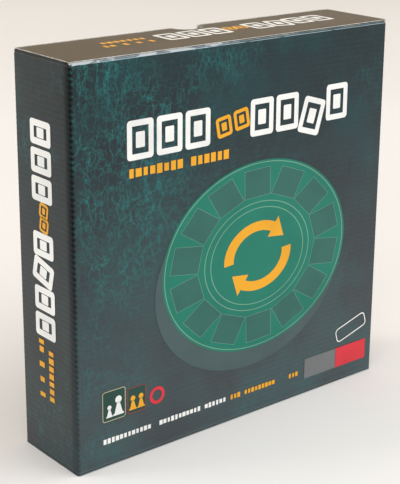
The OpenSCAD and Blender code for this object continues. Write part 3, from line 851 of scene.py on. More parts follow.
def follow_wall_folds(mesh):
    """Draws the crease's ends in over the rounded corners of the walls below."""
    for vert in mesh.vertices:
        past = abs(vert.co.x) / MM - (HALF_W - UNDER - FOLD)
        if past > 0:
            share = min(1.0, max(0.0, (HEIGHT - 0.6 - vert.co.z / MM) / 1.6))
            vert.co.y += share * (FOLD - math.sqrt(FOLD ** 2 - past ** 2)) * MM


def make_front_crease():
    """The strip from the front wall over to the lid."""
    y, z = -HALF_D + 0.03, HEIGHT - 0.02
    profile = [(y + 0.12, z - 5.2), (y + 0.03, z - 4.0), (y, z - FLAT - 0.5), (y + 0.04, z - FLAT - 0.12),
               (y + 0.15, z - FLAT + 0.12), (y + 0.9, z - FLAT + 0.92), (y + 1.6, z - 0.62),
               (y + FLAT - 0.25, z - 0.13), (y + FLAT + 0.05, z - 0.02), (y + FLAT + 0.5, z),
               (y + 3.8, z - 0.08)]
    mesh = strip("front_crease", profile, 0.1 - LID_HALF, LID_HALF - 0.1, 0.22, 0.16, PRINT, seed=3.1)
    for material in (FOLD_FACE_FILM_AND_SHEEN, EDGE_LINE_CRACKS_AND_HIGHLIGHT):
        mesh.materials.append(material)
    front_crease_wear_and_painted_light(mesh, y, z)
    follow_wall_folds(mesh)
    crease = finish_piece("front_crease", mesh, None, 70)
    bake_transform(crease)


make_front_crease()

# %% [markdown]
# ## The creases of the flaps
# At the sides the walls fold over to the dust flaps, and stand up a little beside the lid's cut edges.
# At the rear the lid rolls down to the tuck flap. These folds were pressed less, so they stay round.

# %% Dust and tuck creases
def make_dust_creases():
    """The side walls fold over to the dust flaps, and the fold stands up beside the lid's cut edge."""
    x, hinge_z = HALF_W - 0.09, SIDE_TOP + 0.9
    profile = [(x - 0.10, 262.0), (x - 0.03, 264.0), (x, 266.2), (x, 267.6), (x - 0.01, 268.7),
               (x - 0.07, 269.15), (x - 0.20, 269.3), (x - 0.34, 269.1), (x - 0.44, 268.42),
               (x - 0.9, 268.37), (x - 2.4, 268.34)]
    for name, side in (("left", -1), ("right", 1)):
        path = [(side * across, up) for across, up in profile[::-side]]
        mesh = strip(f"dust_crease_{name}", path, -30.0, 29.3, 0.18, 0.12, PRINT, "y", seed=side * 4.0)
        for face in mesh.polygons:
            if side > 0:
                face.flip()
            if face.material_index == EDGE and face.center.z < lid_low.z:
                face.material_index = SKIN
        crease = finish_piece(f"dust_crease_{name}_skin", mesh, None, 70)
        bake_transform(crease)


def make_tuck_crease():
    """The rear edge of the lid rolls down to the tuck flap, on both sides of the thumb notch."""
    y, z = REAR, HEIGHT
    profile = [(y - 2.2, z - 0.08), (y - 1.3, z - 0.06), (y - 0.6, z - 0.24), (y - 0.12, z - 0.75),
               (y + 0.02, z - 1.5), (y + 0.04, z - 2.5), (y + 0.03, z - 3.6), (y, z - 5.0)]
    for name, start, stop in (("left", -131.3, -NOTCH - 0.1), ("right", NOTCH + 0.1, 131.3)):
        mesh = strip(f"tuck_crease_{name}", profile, start, stop, 0.2, 0.2, CREASE, seed=7.7)
        for face in mesh.polygons:
            face.flip()
        crease = finish_piece(f"tuck_crease_{name}", mesh, None, 70)
        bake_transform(crease)


make_dust_creases()
make_tuck_crease()

# %% [markdown]
# ## Drawing on a panel
# A print has no thickness, but a mesh needs a place, so each drawing is a set of flat shapes that lie
# a few hundredths of a millimetre over the liner. Shapes are drawn as on paper, in millimetres from a
# panel's top left corner, and one function lays the paper on the panel.

# %% Panels and flat shapes
INK_LIFT = 0.07
ALONG, UP, DOWN, AHEAD, BEHIND = (1, 0, 0), (0, 0, 1), (0, 0, -1), (0, -1, 0), (0, 1, 0)
PANELS = {            # each with its top left corner, rightwards, downwards and outwards
    "front": ((-HALF_W, INK_LIFT - HALF_D, HEIGHT), ALONG, DOWN, AHEAD),
    "left": ((INK_LIFT - HALF_W, HALF_D, HEIGHT), AHEAD, DOWN, (-1, 0, 0)),
    "right": ((HALF_W - INK_LIFT, -HALF_D, HEIGHT), BEHIND, DOWN, ALONG),
    "lid": ((-HALF_W, HALF_D, HEIGHT - 0.05), ALONG, AHEAD, UP),
}
CORNERS = ((1, 1, 0), (-1, 1, 90), (-1, -1, 180), (1, -1, 270))


def arc(cx, cy, radius, start, stop, steps):
    """Points along an arc, in degrees."""
    turns = [math.radians(start + (stop - start) * k / steps) for k in range(steps + 1)]
    return [(cx + radius * math.cos(angle), cy + radius * math.sin(angle)) for angle in turns]


def rounded(half_w, half_h, r, steps):
    """A rounded rectangle about (0, 0) as a closed run of points."""
    return [point for sx, sy, start in CORNERS
            for point in arc(sx * (half_w - r), sy * (half_h - r), r, start, start + 90, steps)]


def box_shape(cx, cy, w, h, r=1.0, turn=0.0):
    """A rounded rectangle at a place on the panel, turned by some degrees."""
    c, s = math.cos(math.radians(turn)), math.sin(math.radians(turn))
    return [(cx + x * c - y * s, cy + x * s + y * c) for x, y in rounded(w / 2, h / 2, r, 4)]


def frame_shape(cx, cy, w, h, r, line, turn=0.0):
    """A rounded rectangle's outline, as its outer and inner runs of points."""
    inner = box_shape(cx, cy, w - 2 * line, h - 2 * line, max(0.2, r - line), turn)
    return box_shape(cx, cy, w, h, r, turn), inner


def disc_shape(cx, cy, r, steps=48):
    """A disc as a closed run of points."""
    return arc(cx, cy, r, 0, 360 - 360 / steps, steps - 1)


def ring_shape(cx, cy, r, line, steps=72):
    """A ring as its outer and inner runs of points."""
    return disc_shape(cx, cy, r, steps), disc_shape(cx, cy, r - line, steps)


print("panels to draw on:", ", ".join(PANELS))

# %% [markdown]
# ## Ink on a panel
# A drawing collects its shapes and turns them into one mesh. Each shape has an ink and a layer, and a
# higher layer lies a hundredth of a millimetre over a lower one, so that it covers it as paint does.

# %% A drawing of inked shapes
LAYER = 0.012         # how far one ink lies over the one below


class Drawing:
    """Flat shapes on one panel: each has an ink, and a layer that keeps it over what it covers."""

    def __init__(self, panel, inks):
        self.origin, self.right, self.down, self.out = (Vector(v) for v in PANELS[panel])
        self.inks = inks
        self.points, self.faces, self.slots = [], [], []

    def fill(self, points, ink_name, layer=0):
        """Adds one filled shape."""
        start = len(self.points)
        lift = self.origin + self.out * (LAYER * layer)
        self.points += [(lift + self.right * u + self.down * v) * MM for u, v in points]
        self.faces.append(list(range(start, start + len(points))))
        self.slots.append(list(self.inks).index(ink_name))

    def band(self, pair, ink_name, layer=0, closed=True):
        """Adds the band between two runs of points."""
        outer, inner = pair
        for k in range(len(outer) if closed else len(outer) - 1):
            n = (k + 1) % len(outer)
            self.fill([outer[k], outer[n], inner[n], inner[k]], ink_name, layer)

    def piece(self, name, body, slot):
        """Makes the drawing a piece that rides on a body, its faces turned outwards."""
        mesh = new_mesh(name, self.points, self.faces, self.inks.values(), self.slots)
        for face in mesh.polygons:
            if face.normal.dot(self.out) < 0:
                face.flip()
        with opened(mesh) as shape:
            bmesh.ops.remove_doubles(shape, verts=shape.verts[:], dist=2e-6)
        print(f"{name}: {len(mesh.polygons)} shapes")
        return finish_piece(name, mesh, body)


print("two inks lie", LAYER, "mm apart")

# %% [markdown]
# ## Rows that repeat
# A line of small print, and the cells round the wheel, are one shape repeated along a path. Two small
# Geometry Nodes trees do that: one sets blocks along a line and leaves word gaps by a fixed seed, the
# other sets cells round a circle. The blocks stand for words without saying any.

# %% Printed rows and rings by Geometry Nodes
def printed_block(tree, given):
    """A filled rectangle as wide and high as the tree is told."""
    outline = add(tree, "GeometryNodeCurvePrimitiveQuadrilateral",
                  Width=given["Width"], Height=given["Height"])
    return add(tree, "GeometryNodeFillCurve", Curve=outline)


def small_print_tree():
    """Blocks along a line, some left out as gaps between words, no two quite the same size."""
    tree, given, names = new_tree(
        "small_print_row", Letters=20, Step=0.0026, Width=0.0018, Height=0.0026, Seed=1, Ink=None)
    step = add(tree, "ShaderNodeCombineXYZ", X=given["Step"])
    line = add(tree, "GeometryNodeMeshLine", Count=given["Letters"], Offset=step)
    gaps = add(tree, "FunctionNodeRandomValue", data_type="BOOLEAN", Probability=0.9, Seed=given["Seed"])
    size = add(tree, "FunctionNodeRandomValue", (0.72, 0.78, 1), (1.12, 1.0, 1), data_type="FLOAT_VECTOR",
               Seed=given["Seed"])
    row = add(tree, "GeometryNodeInstanceOnPoints", Points=line, Selection=gaps.outputs[3],
              Instance=printed_block(tree, given), Scale=size)
    end_tree(tree, row, given["Ink"])
    return tree, names


def cell_ring_tree():
    """Blocks round a circle, each turned to face its middle."""
    tree, given, names = new_tree(
        "cells_round_wheel", Cells=12, Radius=0.06, Width=0.02, Height=0.02, Ink=None)
    ring = add(tree, "GeometryNodeMeshCircle", Vertices=given["Cells"], Radius=given["Radius"])
    turn = add(tree, "FunctionNodeAlignRotationToVector", axis="Y",
               Vector=add(tree, "GeometryNodeInputPosition"))
    cells = add(tree, "GeometryNodeInstanceOnPoints", Points=ring, Instance=printed_block(tree, given),
                Rotation=turn)
    end_tree(tree, cells, given["Ink"])
    return tree, names


SMALL_PRINT = small_print_tree()
CELL_RING = cell_ring_tree()
print("trees:", [tree.name for tree in bpy.data.node_groups])

# %% [markdown]
# ## From the tree to the drawing
# The tree gives flat blocks in metres. They are copied into a drawing through a function of their
# points, which sets them in their place, down a panel or at a slant, and the drawing inks them.

# %% Laying rows and rings
BLOCK_STEP, BLOCK_WIDTH = 0.86, 0.66    # as shares of a row's height


def lay(drawing, made, ink_name, layer, bend):
    """Copies a flat mesh, drawn in metres, into a drawing through a function of its points."""
    for face in made.polygons:
        points = [made.vertices[v].co for v in face.vertices]
        drawing.fill([bend(p.x / MM, -p.y / MM) for p in points], ink_name, layer)
    bpy.data.meshes.remove(made)


def small_print(drawing, u, v, length, height, ink_name, seed, down=False, layer=0):
    """A row of small print that says nothing, to the right or down the panel."""
    step = height * BLOCK_STEP
    made = run_tree(SMALL_PRINT, Letters=round(length / step), Step=step * MM, Height=height * MM,
                    Width=height * BLOCK_WIDTH * MM, Seed=seed, Ink=drawing.inks[ink_name])
    bend = (lambda x, y: (u - y, v + x)) if down else (lambda x, y: (u + x, v + y))
    lay(drawing, made, ink_name, layer, bend)


print("a row 80 mm long and 5.5 mm tall has", round(80 / (5.5 * BLOCK_STEP)), "blocks")

# %% [markdown]
# ## What is printed on the carton
# The drawing is plain decoration in the carton's colours: a row of blank tiles where a title would
# stand, a wheel of blank cells with turning arrows, playing pawns, and small print without words.

# %% Marks of the drawing
def tile_mark(drawing, cx, cy, w, h, ink_name, turn=0.0, layer=0):
    """A blank tile: a frame with a block in it."""
    drawing.band(frame_shape(cx, cy, w, h, 2.4, 0.19 * w, turn), ink_name, layer)
    drawing.fill(box_shape(cx, cy, 0.34 * w, 0.40 * h, 0.8, turn), ink_name, layer)


def pawn(drawing, cx, foot, height, ink_name, layer):
    """A playing pawn: a head, a leaning body and a foot."""
    head = 0.19 * height
    top = foot - height
    neck, waist = top + 1.8 * head, foot - 0.1 * height
    drawing.fill(disc_shape(cx, top + head, head, 20), ink_name, layer)
    drawing.fill([(cx - 0.08 * height, neck), (cx + 0.08 * height, neck),
                  (cx + 0.24 * height, waist), (cx - 0.24 * height, waist)], ink_name, layer)
    drawing.fill(box_shape(cx, foot - 0.05 * height, 0.62 * height, 0.1 * height, 0.3), ink_name, layer)


def turning_arrows(drawing, outer, inner, barb, layer, slanted=list):
    """Two gold arrows that chase each other round (0, 0); slanted moves their points."""
    for start in (10, 190):
        shaft = [slanted(arc(0, 0, radius, start, start + 125, 30)) for radius in (outer, inner)]
        drawing.band(shaft, "gold", layer, closed=False)
        tip = math.radians(start + 125)
        head = ((outer + barb, tip), (inner - barb, tip), ((outer + inner) / 2, tip + 0.55))
        drawing.fill(slanted([(r * math.cos(a), r * math.sin(a)) for r, a in head]), "gold", layer)


print("marks: a blank tile, a pawn and two arrows")

# %% [markdown]
# ## The wheel
# The wheel is a disc seen at a slant, so one function slants every point of it. Its side shows where the
# rim's outward direction looks down and to the left, and there the rim is dropped by the wheel's height.

# %% Wheel of blank cells
WHEEL_R = 79
CELLS = 14


def draw_wheel(drawing, cu, cv):
    """A wheel of blank cells, seen at a slant, with a rim and turning arrows in the middle."""
    def slant(x, y):
        return cu + 1.02 * x + 0.26 * y, cv - 0.22 * x + 0.83 * y

    def slanted(points):
        return [slant(x, y) for x, y in points]

    rim = slanted(disc_shape(0, 0, WHEEL_R, 96))
    fall = Vector((-6.0, 12.5))
    hull = []
    for k, point in enumerate(rim):
        before, after = Vector(rim[k - 1]), Vector(rim[(k + 1) % len(rim)])
        outward = Vector((after.y - before.y, before.x - after.x))
        hull.append(tuple(Vector(point) + fall) if outward.dot(fall) > 0 else point)
    drawing.fill(hull, "plate_side", 1)
    drawing.fill(rim, "plate_green", 2)
    drawing.band([slanted(s) for s in ring_shape(0, 0, WHEEL_R - 1.5, 0.7, 96)], "pale_line", 3)
    for width, ink_name, layer in ((22.0, "pale_line", 3), (21.5, "cell_green", 4)):
        made = run_tree(CELL_RING, Cells=CELLS, Radius=61 * MM, Width=width * MM,
                        Height=(width + 1) * MM, Ink=drawing.inks[ink_name])
        lay(drawing, made, ink_name, layer, slant)
    for radius in (45.5, 40.5):
        drawing.band([slanted(s) for s in ring_shape(0, 0, radius, 0.7)], "pale_line", 3)
    turning_arrows(drawing, 29, 21, 5, 5, slanted)


print(f"wheel {2 * WHEEL_R} mm across before it is slanted, {CELLS} cells")

# %% [markdown]
# ## The title
# A row of blank tiles stands for the title, with a smaller gold pair in it. The same row goes along the
# lid and down the sides, so one function lays it either way.

# %% Title row
TITLE_PLACES = 8
GOLD_PLACE, TILTED_PLACE = 3, 5


def draw_title(drawing, along, across, length, tall, down, gold_after):
    """A row of blank tiles with a gold pair in it and two short gold lines after or before it."""
    def spot(a, c):
        return (across - c, along + a) if down else (along + a, across + c)

    step = length / TITLE_PLACES
    for k in range(TITLE_PLACES):
        if k == GOLD_PLACE:
            for shift in (-0.26, 0.26):
                u, v = spot(step * (k + 0.5 + shift), -1.5)
                tile_mark(drawing, u, v, tall * 0.44, tall * 0.44, "gold", 10, 2)
            continue
        u, v = spot(step * (k + 0.5), 1.0 if k == TILTED_PLACE else 0.0)
        w, h = (tall, step * 0.88) if down else (step * 0.88, tall)
        tile_mark(drawing, u, v, w, h, "white", 14 if k == TILTED_PLACE else 0, 1)
    start = along + length + 3 if gold_after else along - 46
    for row, seed in ((-0.24, 3), (0.24, 8)):
        u, v = (across - row * tall, start) if down else (start, across + row * tall)
        small_print(drawing, u, v, 41, tall * 0.27, "gold", seed, down, 1)


print("the title has", TITLE_PLACES, "places, one of them a gold pair")

# %% [markdown]
# ## Placing the print
# The front carries the wheel, with a title over it and small print under it. The sides and the lid
# repeat the title, down the side walls and along the lid, as a shop needs to read it from each side.

# %% The drawings on front, sides and lid
def draw_front():
    """Title, wheel, badges with pawns, stamp, label and small print."""
    front = Drawing("front", WALL_INKS)
    for cx, cy, turn in ((51, 54, 0), (74, 54, 0), (97, 54, 0), (152, 54, 0), (175, 54, 0),
                         (198, 60, 17), (222, 53, 0)):
        tile_mark(front, cx, cy, 20.5, 25.5, "white", turn, 2 if turn else 1)
    for cx, cy in ((119, 56), (134, 53)):
        tile_mark(front, cx, cy, 13, 14, "gold", -10, 2)
    small_print(front, 44, 75, 84, 6.4, "gold", 5)
    draw_wheel(front, 151, 152)
    for cx, cy, w, h, border, ink_name, pawns in (
            (28.5, 227.5, 18.5, 21.5, "sand", "white", ((24.8, 8.5), (32.0, 13.5))),
            (46.8, 228.8, 15.2, 18.5, "dull_red", "gold", ((43.6, 10.0), (50.2, 10.0)))):
        front.band(frame_shape(cx, cy, w, h, 2.0, 0.6), border, 2)
        front.fill(box_shape(cx, cy, w - 1.2, h - 1.2, 1.4), "badge_green", 1)
        for pawn_x, height in pawns:
            pawn(front, pawn_x, 235.5, height, ink_name, 3)
    front.band(ring_shape(63.5, 231.0, 6.2, 2.3), "red", 1)
    small_print(front, 21, 252, 104, 3.8, "white", 11)
    small_print(front, 129, 252, 66, 3.8, "gold", 23)
    front.fill(box_shape(215, 250.5, 32, 15.5, 0.4), "cool_grey", 1)
    front.fill(box_shape(246.5, 250.5, 31.5, 15.5, 0.4), "red", 1)
    front.band(frame_shape(246, 229.5, 31.5, 11.5, 3.4, 0.9, -16), "white", 1)
    front.piece("front_print", "carton", "printed_board")


def draw_sides_and_lid():
    """The title down both side walls and along the lid."""
    for panel in ("left", "right"):
        side = Drawing(panel, {key: WALL_INKS[key] for key in LID_INKS})
        draw_title(side, 40, 29.5, 146, 23, True, True)
        side.piece(panel + "_print", "carton", "printed_board")
    lid = Drawing("lid", LID_INKS)
    draw_title(lid, 93, 29.0, 150, 22, False, False)
    lid.piece("lid_print", "lid", "printed_board")


draw_front()
draw_sides_and_lid()

# %% [markdown]
# ## Board pieces that keep their CAD shape
# Flaps, bottom and cradle already have the right shape in the frame, so they only need a finish. Their
# board is printed on one face and plain on the other, so the material asks where a point lies: what is
# beyond the face's level is print, and the rest is bare white liner.

# %% Two-faced board for flaps and bottom
def two_faced_board(name, axis, level, sign, rim):
    """Printed beyond a level (millimetres) along an axis and beyond a rim (x, y); bare elsewhere."""
    material, tree, shader, place = start_material(name, IOR=1.42)
    axes = add(tree, SPLIT, place).outputs
    most = add(tree, MATH, axes[axis], sign, -sign * level, operation="MULTIPLY_ADD")
    for across, reach in zip("XY", rim):
        size = add(tree, MATH, axes[across], operation="ABSOLUTE")
        past = add(tree, MATH, size, reach, operation="SUBTRACT")
        most = add(tree, MATH, most, past, operation="MAXIMUM")
    printed = add(tree, MATH, most, 0.0, operation="GREATER_THAN")
    fibres = speckle(tree, place, 0.9, 5.0, FIBRE_STRETCH)
    liner = ramp(tree, fibres, (0.3, "#c6c1b7"), (0.7, "#dad6cd"))
    gloss = add(tree, SPREAD, Value=printed, To_Min=0.85, To_Max=FILM_GLOSS)
    feed(tree, shader, {"Roughness": gloss})
    coat(tree, shader, blend_colours(tree, printed, liner, leather_print(tree, place)), fibres, 0.02)
    return material


BOTTOM_BOARD = two_faced_board("bottom_board", "Z", 0.4, -1, (133.6, 30.8))
DUST_FLAP_BOARD = two_faced_board("dust_flap_board", "Z", 268.25, 1, (134.3, 40))
TUCK_FLAP_BOARD = two_faced_board("tuck_flap_board", "Y", 29.15, 1, (140, 40))
print("two-faced:", BOTTOM_BOARD.name, DUST_FLAP_BOARD.name, TUCK_FLAP_BOARD.name)

# %% [markdown]
# ## Finish and folded corners
# A frame node gets a better material in its own slots, and keeps its shape and place. Only the bottom
# panels need more: their square corners would stick out under the folded walls, so a copy is rounded.

# %% Dressed nodes and rounded bottom corners
def dress(material, *names):
    """Gives CAD nodes a better material in their own slots."""
    for name in names:
        for slot in nodes[name].material_slots:
            slot.material = material
    print(material.name, "->", ", ".join(names))


def fold_corners(name):
    """A copy of a bottom panel, its square corners rounded as the folded walls above them."""
    mesh = nodes[name].data.copy()
    mesh.transform(nodes[name].matrix_world)
    limits = (HALF_W, HALF_D)
    with opened(mesh) as shape:
        for axis in (0, 1):
            for reach in (FOLD, 1.6, 0.9, 0.4, -0.4, -0.9, -1.6, -FOLD):
                cut, across = Vector(), Vector()
                cut[axis] = (math.copysign(limits[axis], reach) - reach) * MM
                across[axis] = 1
                slice_at(shape, cut, across)
        for vert in shape.verts:
            over = Vector([abs(vert.co[axis]) / MM - limits[axis] + FOLD for axis in (0, 1)])
            if min(over) > 0 and over.length > FOLD - UNDER:
                over *= (FOLD - UNDER) / over.length
                for axis in (0, 1):
                    vert.co[axis] = math.copysign((limits[axis] - FOLD + over[axis]) * MM, vert.co[axis])
    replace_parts(finish_piece(name + "_folded", mesh, "carton"), name)


BOTTOM = ("bottom_front_panel", "bottom_back_panel")
dress(BOTTOM_BOARD, *BOTTOM)
for panel in BOTTOM:
    fold_corners(panel)
dress(DUST_FLAP_BOARD, "dust_flap_left", "dust_flap_right")
dress(TUCK_FLAP_BOARD, "tuck_flap")
dress(LINER, "bottom_left_flap", "bottom_right_flap", "glue_flap")

# %% [markdown]
# ## Moulded and turned materials
# The stand inside is injection moulded: a mid green ABS deck, a darker foot, dark green tiles. The mould
# was lightly spark eroded, which leaves a fine even grain and a satin gloss. Races and washers are
# turned steel, whose tool marks run round the axis, so their grain is noise of the radius alone. The
# cage is moulded nylon and the feet are moulded rubber. Leaflet, disc and cradle are paper and board,
# whose pressed fibres make a fine matt grain.

# %% Plastics, steel, nylon, rubber, card and paper
AXIS = (0.0, 0.0, 134.0)


def moulded_plastic(name, hex_colour, darker, roughness):
    """Satin injection-moulded plastic with spark-eroded grain and faint flow clouds."""
    material, tree, shader, place = start_material(name, Roughness=roughness, IOR=1.53)
    colour = ramp(tree, speckle(tree, place, 34, 3.0), (0.35, darker), (0.65, hex_colour))
    coat(tree, shader, colour, speckle(tree, place, 0.5), 0.02)
    return material


def turned_steel(name, roughness):
    """Bright steel turned on a lathe: fine rings about the axis of the stand."""
    material, tree, shader, place = start_material(name, Metallic=1.0, Roughness=roughness)
    out = add(tree, "ShaderNodeVectorMath", place, AXIS, operation="SUBTRACT")
    flat = add(tree, "ShaderNodeVectorMath", out, (1, 0, 1), operation="MULTIPLY")
    radius = add(tree, "ShaderNodeVectorMath", flat, operation="LENGTH").outputs["Value"]
    rings = add(tree, "ShaderNodeTexNoise", noise_dimensions="1D", W=radius, Scale=3.0, Detail=4.0)
    coat(tree, shader, ramp(tree, rings, (0.3, "#aeb2b6"), (0.7, "#c9ccd0")), rings, 0.01)
    return material


def matt_sheet(name, light, dark, roughness, grain, depth):
    """A matt, fine-grained material: rubber, nylon, paper, greyboard or a thick ink."""
    material, tree, shader, place = start_material(name, Roughness=roughness, IOR=1.48)
    fine = speckle(tree, place, grain, 4.0)
    coat(tree, shader, ramp(tree, fine, (0.3, dark), (0.7, light)), fine, depth)
    return material


dress(moulded_plastic("moulded_abs_deck", "#1c8a66", "#177a5a", 0.36), "deck_shell", "deck_cover")
dress(moulded_plastic("moulded_polystyrene_foot", "#2f5047", "#28463e", 0.45), "stand_base")
dress(turned_steel("turned_steel_race", 0.24),
      "upper_race", "lower_race", "pivot_washer", "pivot_screw", "cover_screws")
dress(turned_steel("polished_ball_steel", 0.12), "bearing_balls")
for node, name, *finish in (
        ("ball_cage", "moulded_nylon_cage", "#e2dcc8", "#d4cdb8", 0.5, 0.8, 0.01),
        ("rubber_feet", "moulded_rubber_foot", "#2c2e30", "#212325", 0.8, 0.4, 0.03),
        ("rules_leaflet", "uncoated_leaflet_paper", "#efece3", "#e3dfd4", 0.9, 0.6, 0.01),
        ("centre_disc", "printed_disc_card", "#1e7a5f", "#1a6f56", 0.5, 3.0, 0.01),
        ("insert_cradle", "white_lined_cradle_board", "#dedad0", "#cbc6ba", 0.85, 1.2, 0.03)):
    dress(matt_sheet(name, *finish), node)

# %% [markdown]
# ## Tiles
# A letter tile is a small moulded cap: leaning sides, a soft top edge, and a hollow underside that
# saves plastic and stops sink marks. Each is lofted through rounded squares from its rim to its top,
# at the place that its CAD tile has.

# %% Lofted caps
TILE = moulded_plastic("moulded_urea_tile", "#245f50", "#1f5547", 0.3)


def tile_mesh(name, width, thick):
    """Lofts rounded squares, each (in from the side, corner radius, height over the underside)."""
    rings = [[(x, y, height) for x, y in rounded(width / 2 - inset, width / 2 - inset, radius, 5)]
             for inset, radius, height in (
                 (1.7, 1.0, thick - 1.7), (1.6, 1.0, 0.15), (0.3, 1.8, 0.0), (0.02, 2.0, 0.25),
                 (0.12, 2.0, thick - 0.9), (0.25, 1.95, thick - 0.42), (0.6, 1.8, thick - 0.12),
                 (1.1, 1.6, thick))]
    count = len(rings[0])
    points = [Vector(p) * MM for ring in rings for p in ring]
    faces = []
    for r in range(len(rings) - 1):
        for c in range(count):
            low, next_low = r * count + c, r * count + (c + 1) % count
            faces.append((low, next_low, next_low + count, low + count))
    faces.append(range(count - 1, -1, -1))
    faces.append(range(len(points) - count, len(points)))
    mesh = new_mesh(name, points, faces, [TILE])
    with opened(mesh) as shape:
        bmesh.ops.recalc_face_normals(shape, faces=shape.faces[:])
    return mesh


print("tile material:", TILE.name)

# %% [markdown]
# ## Letters
# Each cap has one printed letter. A text curve gives its outline, and the mesh made of it is laid a few
# hundredths of a millimetre over the cap, with its head turned away from the middle of the deck.

# %% Printed letters on the caps
LETTERS = "TKMRBSHNDP"
WHITE_PAINT = matt_sheet("pad_printed_white_paint", "#f4f4f0", "#ececE6", 0.4, 2.0, 0.005)


def letter_mesh(name, letter, height):
    """A letter as a flat mesh about its own middle, in metres."""
    curve = bpy.data.curves.new(name, "FONT")
    curve.body = letter
    curve.size = height * MM / 0.72
    curve.align_x, curve.align_y = "CENTER", "CENTER"
    curve.offset = 0.25 * MM
    carrier = in_scene(name, curve)
    graph = bpy.context.evaluated_depsgraph_get()
    mesh = bpy.data.meshes.new_from_object(carrier.evaluated_get(graph))
    bpy.data.objects.remove(carrier)
    bpy.data.curves.remove(curve)
    middle = sum((Vector(v.co) for v in mesh.vertices), Vector()) / len(mesh.vertices)
    low = min(v.co.y for v in mesh.vertices)
    high = max(v.co.y for v in mesh.vertices)
    mesh.transform(Matrix.Translation((-middle.x, -(low + high) / 2, 0)))
    mesh.materials.append(WHITE_PAINT)
    return mesh


def letter_turn(away):
    """Which way up a letter stands: its head is turned away from the middle of the deck."""
    if abs(away.x) > abs(away.z):
        return -90 if away.x > 0 else 90
    return 0 if away.z > 0 else 180


def make_tile(node, body, letter):
    """A tile's cap in the place of its CAD node, and its letter on top."""
    low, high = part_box(node)
    middle = (low + high) / 2
    outward = Matrix.Rotation(math.radians(90), 4, "X")
    mesh = tile_mesh(node + "_cap", (high.x - low.x) / MM, (high.y - low.y) / MM)
    mesh.transform(Matrix.Translation((middle.x, high.y, middle.z)) @ outward)
    cap = finish_piece(node + "_cap", mesh, body, 60)
    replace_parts(cap, node)
    glyph = letter_mesh(node + "_letter", letter, 13)
    turn = letter_turn(middle - Vector(AXIS) * MM)
    face = Matrix.Translation((middle.x, low.y - 0.03 * MM, middle.z)) @ outward
    glyph.transform(face @ Matrix.Rotation(math.radians(turn), 4, "Z"))
    finish_piece(node + "_letter", glyph, body)


for number, letter in enumerate(LETTERS, 1):
    make_tile(f"letter_tile_{number:02d}", f"tile_{number:02d}", letter)
print(len(LETTERS), "tiles")

# %% [markdown]
# ## Print inside the carton
# The disc in the middle of the deck has the turning arrows of the front's drawing, and the leaflet has
# rows of small print. Both are drawings on a panel, as before.

# %% Disc arrows and leaflet rows
DISC_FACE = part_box("centre_disc")[0].y / MM
LEAF_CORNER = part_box("rules_leaflet")[1] / MM + Vector((0, 0.02, 0))
PANELS["disc"] = ((AXIS[0], DISC_FACE - 0.02, AXIS[2]), ALONG, DOWN, AHEAD)
PANELS["leaflet"] = (LEAF_CORNER, (-1, 0, 0), DOWN, BEHIND)


def draw_disc():
    """Two white rings round two gold arrows."""
    gold = matt_sheet("screen_printed_gold_ink", "#e9a61e", "#dd9a18", 0.45, 2.0, 0.005)
    disc = Drawing("disc", {"gold": gold, "white": WHITE_PAINT})
    for radius in (47.5, 44.5):
        disc.band(ring_shape(0, 0, radius, 0.8), "white", 1)
    turning_arrows(disc, 31, 22, 5.5, 1)
    disc.piece("disc_print", "deck", "disc_card")


def draw_leaflet():
    """A heading and 24 rows of small print, with a short row at the end of each paragraph."""
    leaf = Drawing("leaflet", {"ink": matt_sheet("black_leaflet_ink", "#34383a", "#2b2f31", 0.8, 1.0, 0.002)})
    small_print(leaf, 12, 14, 80, 5.5, "ink", 40)
    for row in range(24):
        length = 124 if row % 6 != 5 else 70
        small_print(leaf, 12, 28 + row * 7, length, 2.4, "ink", 50 + row)
    leaf.piece("leaflet_print", "carton", "leaflet_paper")


draw_disc()
draw_leaflet()

# %% [markdown]
# ## The studio
# A pale floor and a big soft lamp are all that a glossy dark box needs: what looks like its colour is
# half the mirrored room. The floor bends up into a back wall, so no horizon line crosses the picture.
# The camera and the mirror in the film see the same pale room as the light comes from.

# %% Floor and back wall
def sweep_material():
    """Seamless paper: matt and very slightly warm. High up the wall it turns to a tan room."""
    material, tree, shader, place = start_material("studio_sweep_paper", Roughness=0.95, IOR=1.4)
    paper = ramp(tree, speckle(tree, place, 700), (0.3, "#ebe8e4"), (0.7, "#efece8"))
    room = add(tree, SPREAD, Value=add(tree, SPLIT, place).outputs["Z"], From_Min=450, From_Max=1300,
               interpolation_type="SMOOTHSTEP")
    feed(tree, shader, {"Base Color": blend_colours(tree, room, paper, linear("#dcc096"))})
    return material


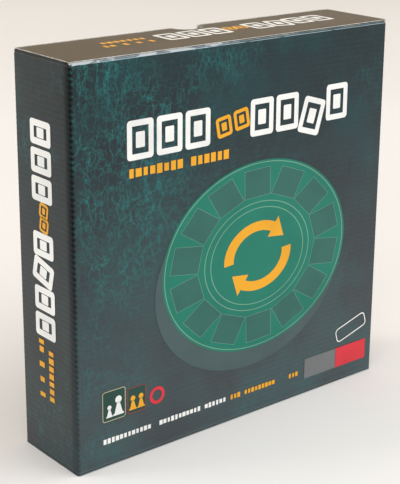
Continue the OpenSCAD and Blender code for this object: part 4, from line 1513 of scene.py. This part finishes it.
def make_sweep():
    """A floor that turns up into a wall behind the object, as one smooth sheet."""
    start, radius, half_width, top, below = 2.6, 1.4, 16, 6.0, 0.0002
    profile = [(-9.0, 0.0)] + [(start + y, radius + z) for y, z in arc(0, 0, radius, -90, 0, 16)]
    profile.append((start + radius, top))
    yaw = math.radians(-VIEW_YAW)
    across = Vector((math.cos(yaw), math.sin(yaw), 0))
    ahead = Vector((-math.sin(yaw), math.cos(yaw), 0))
    points = [ahead * distance + across * side + Vector((0, 0, up - below))
              for distance, up in profile for side in (-half_width, half_width)]
    faces = [(2 * k, 2 * k + 1, 2 * k + 3, 2 * k + 2) for k in range(len(profile) - 1)]
    mesh = new_mesh("studio_sweep", points, faces, [sweep_material()])
    mesh.shade_smooth()
    sweep = in_scene("studio_sweep", mesh)
    sweep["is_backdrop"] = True


make_sweep()
print("floor and back wall are one sheet")

# %% [markdown]
# ## Light
# A glossy dark box shows what it mirrors, so the lamps are large and soft, and the room is evenly pale.
# One lamp lights the wall behind, to keep the box's edges clear against it.

# %% Lamps and room
def soft_lamp(name, place, target, size, power, colour):
    """A square soft box that faces a point."""
    data = bpy.data.lights.new(name, "AREA")
    data.shape = "SQUARE"
    data.size = size
    data.energy = power
    data.color = linear(colour)[:3]
    lamp = in_scene(name, data)
    lamp.location = place
    lamp.rotation_mode = "QUATERNION"
    lamp.rotation_quaternion = (Vector(target) - Vector(place)).to_track_quat("-Z", "Y")


def make_world(colour, strength):
    """The even light of the room."""
    world = bpy.data.worlds.new("studio_room")
    world.use_nodes = True
    sky = world.node_tree.nodes["Background"]
    feed(world.node_tree, sky, {"Color": linear(colour), "Strength": strength})
    bpy.context.scene.world = world


make_world("#f4f5f6", 0.79)
soft_lamp("key_softbox", (1.3, -1.3, 2.2), (0, 0, 0.1), 2.6, 38, "#fbfcff")
soft_lamp("fill_softbox", (-1.8, -1.6, 1.8), (0, 0, 0.1), 2.2, 20, "#fafbff")
soft_lamp("wall_lamp", (-1.5, 1.0, 2.4), (0.2, 3.6, 0.1), 1.2, 26, "#fffaf3")
print("studio is lit")

# %% [markdown]
# ## The size
# Both boxes, the frame's and that of all that renders, are set down side by side.

# %% Write the sizes and finish
def plain(corners):
    """Corners as plain lists of numbers."""
    return [[float(v) for v in corner] for corner in corners]


{"cad": plain(cad_box), "visual": plain(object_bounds())}
print("visual box:", plain(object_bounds()))
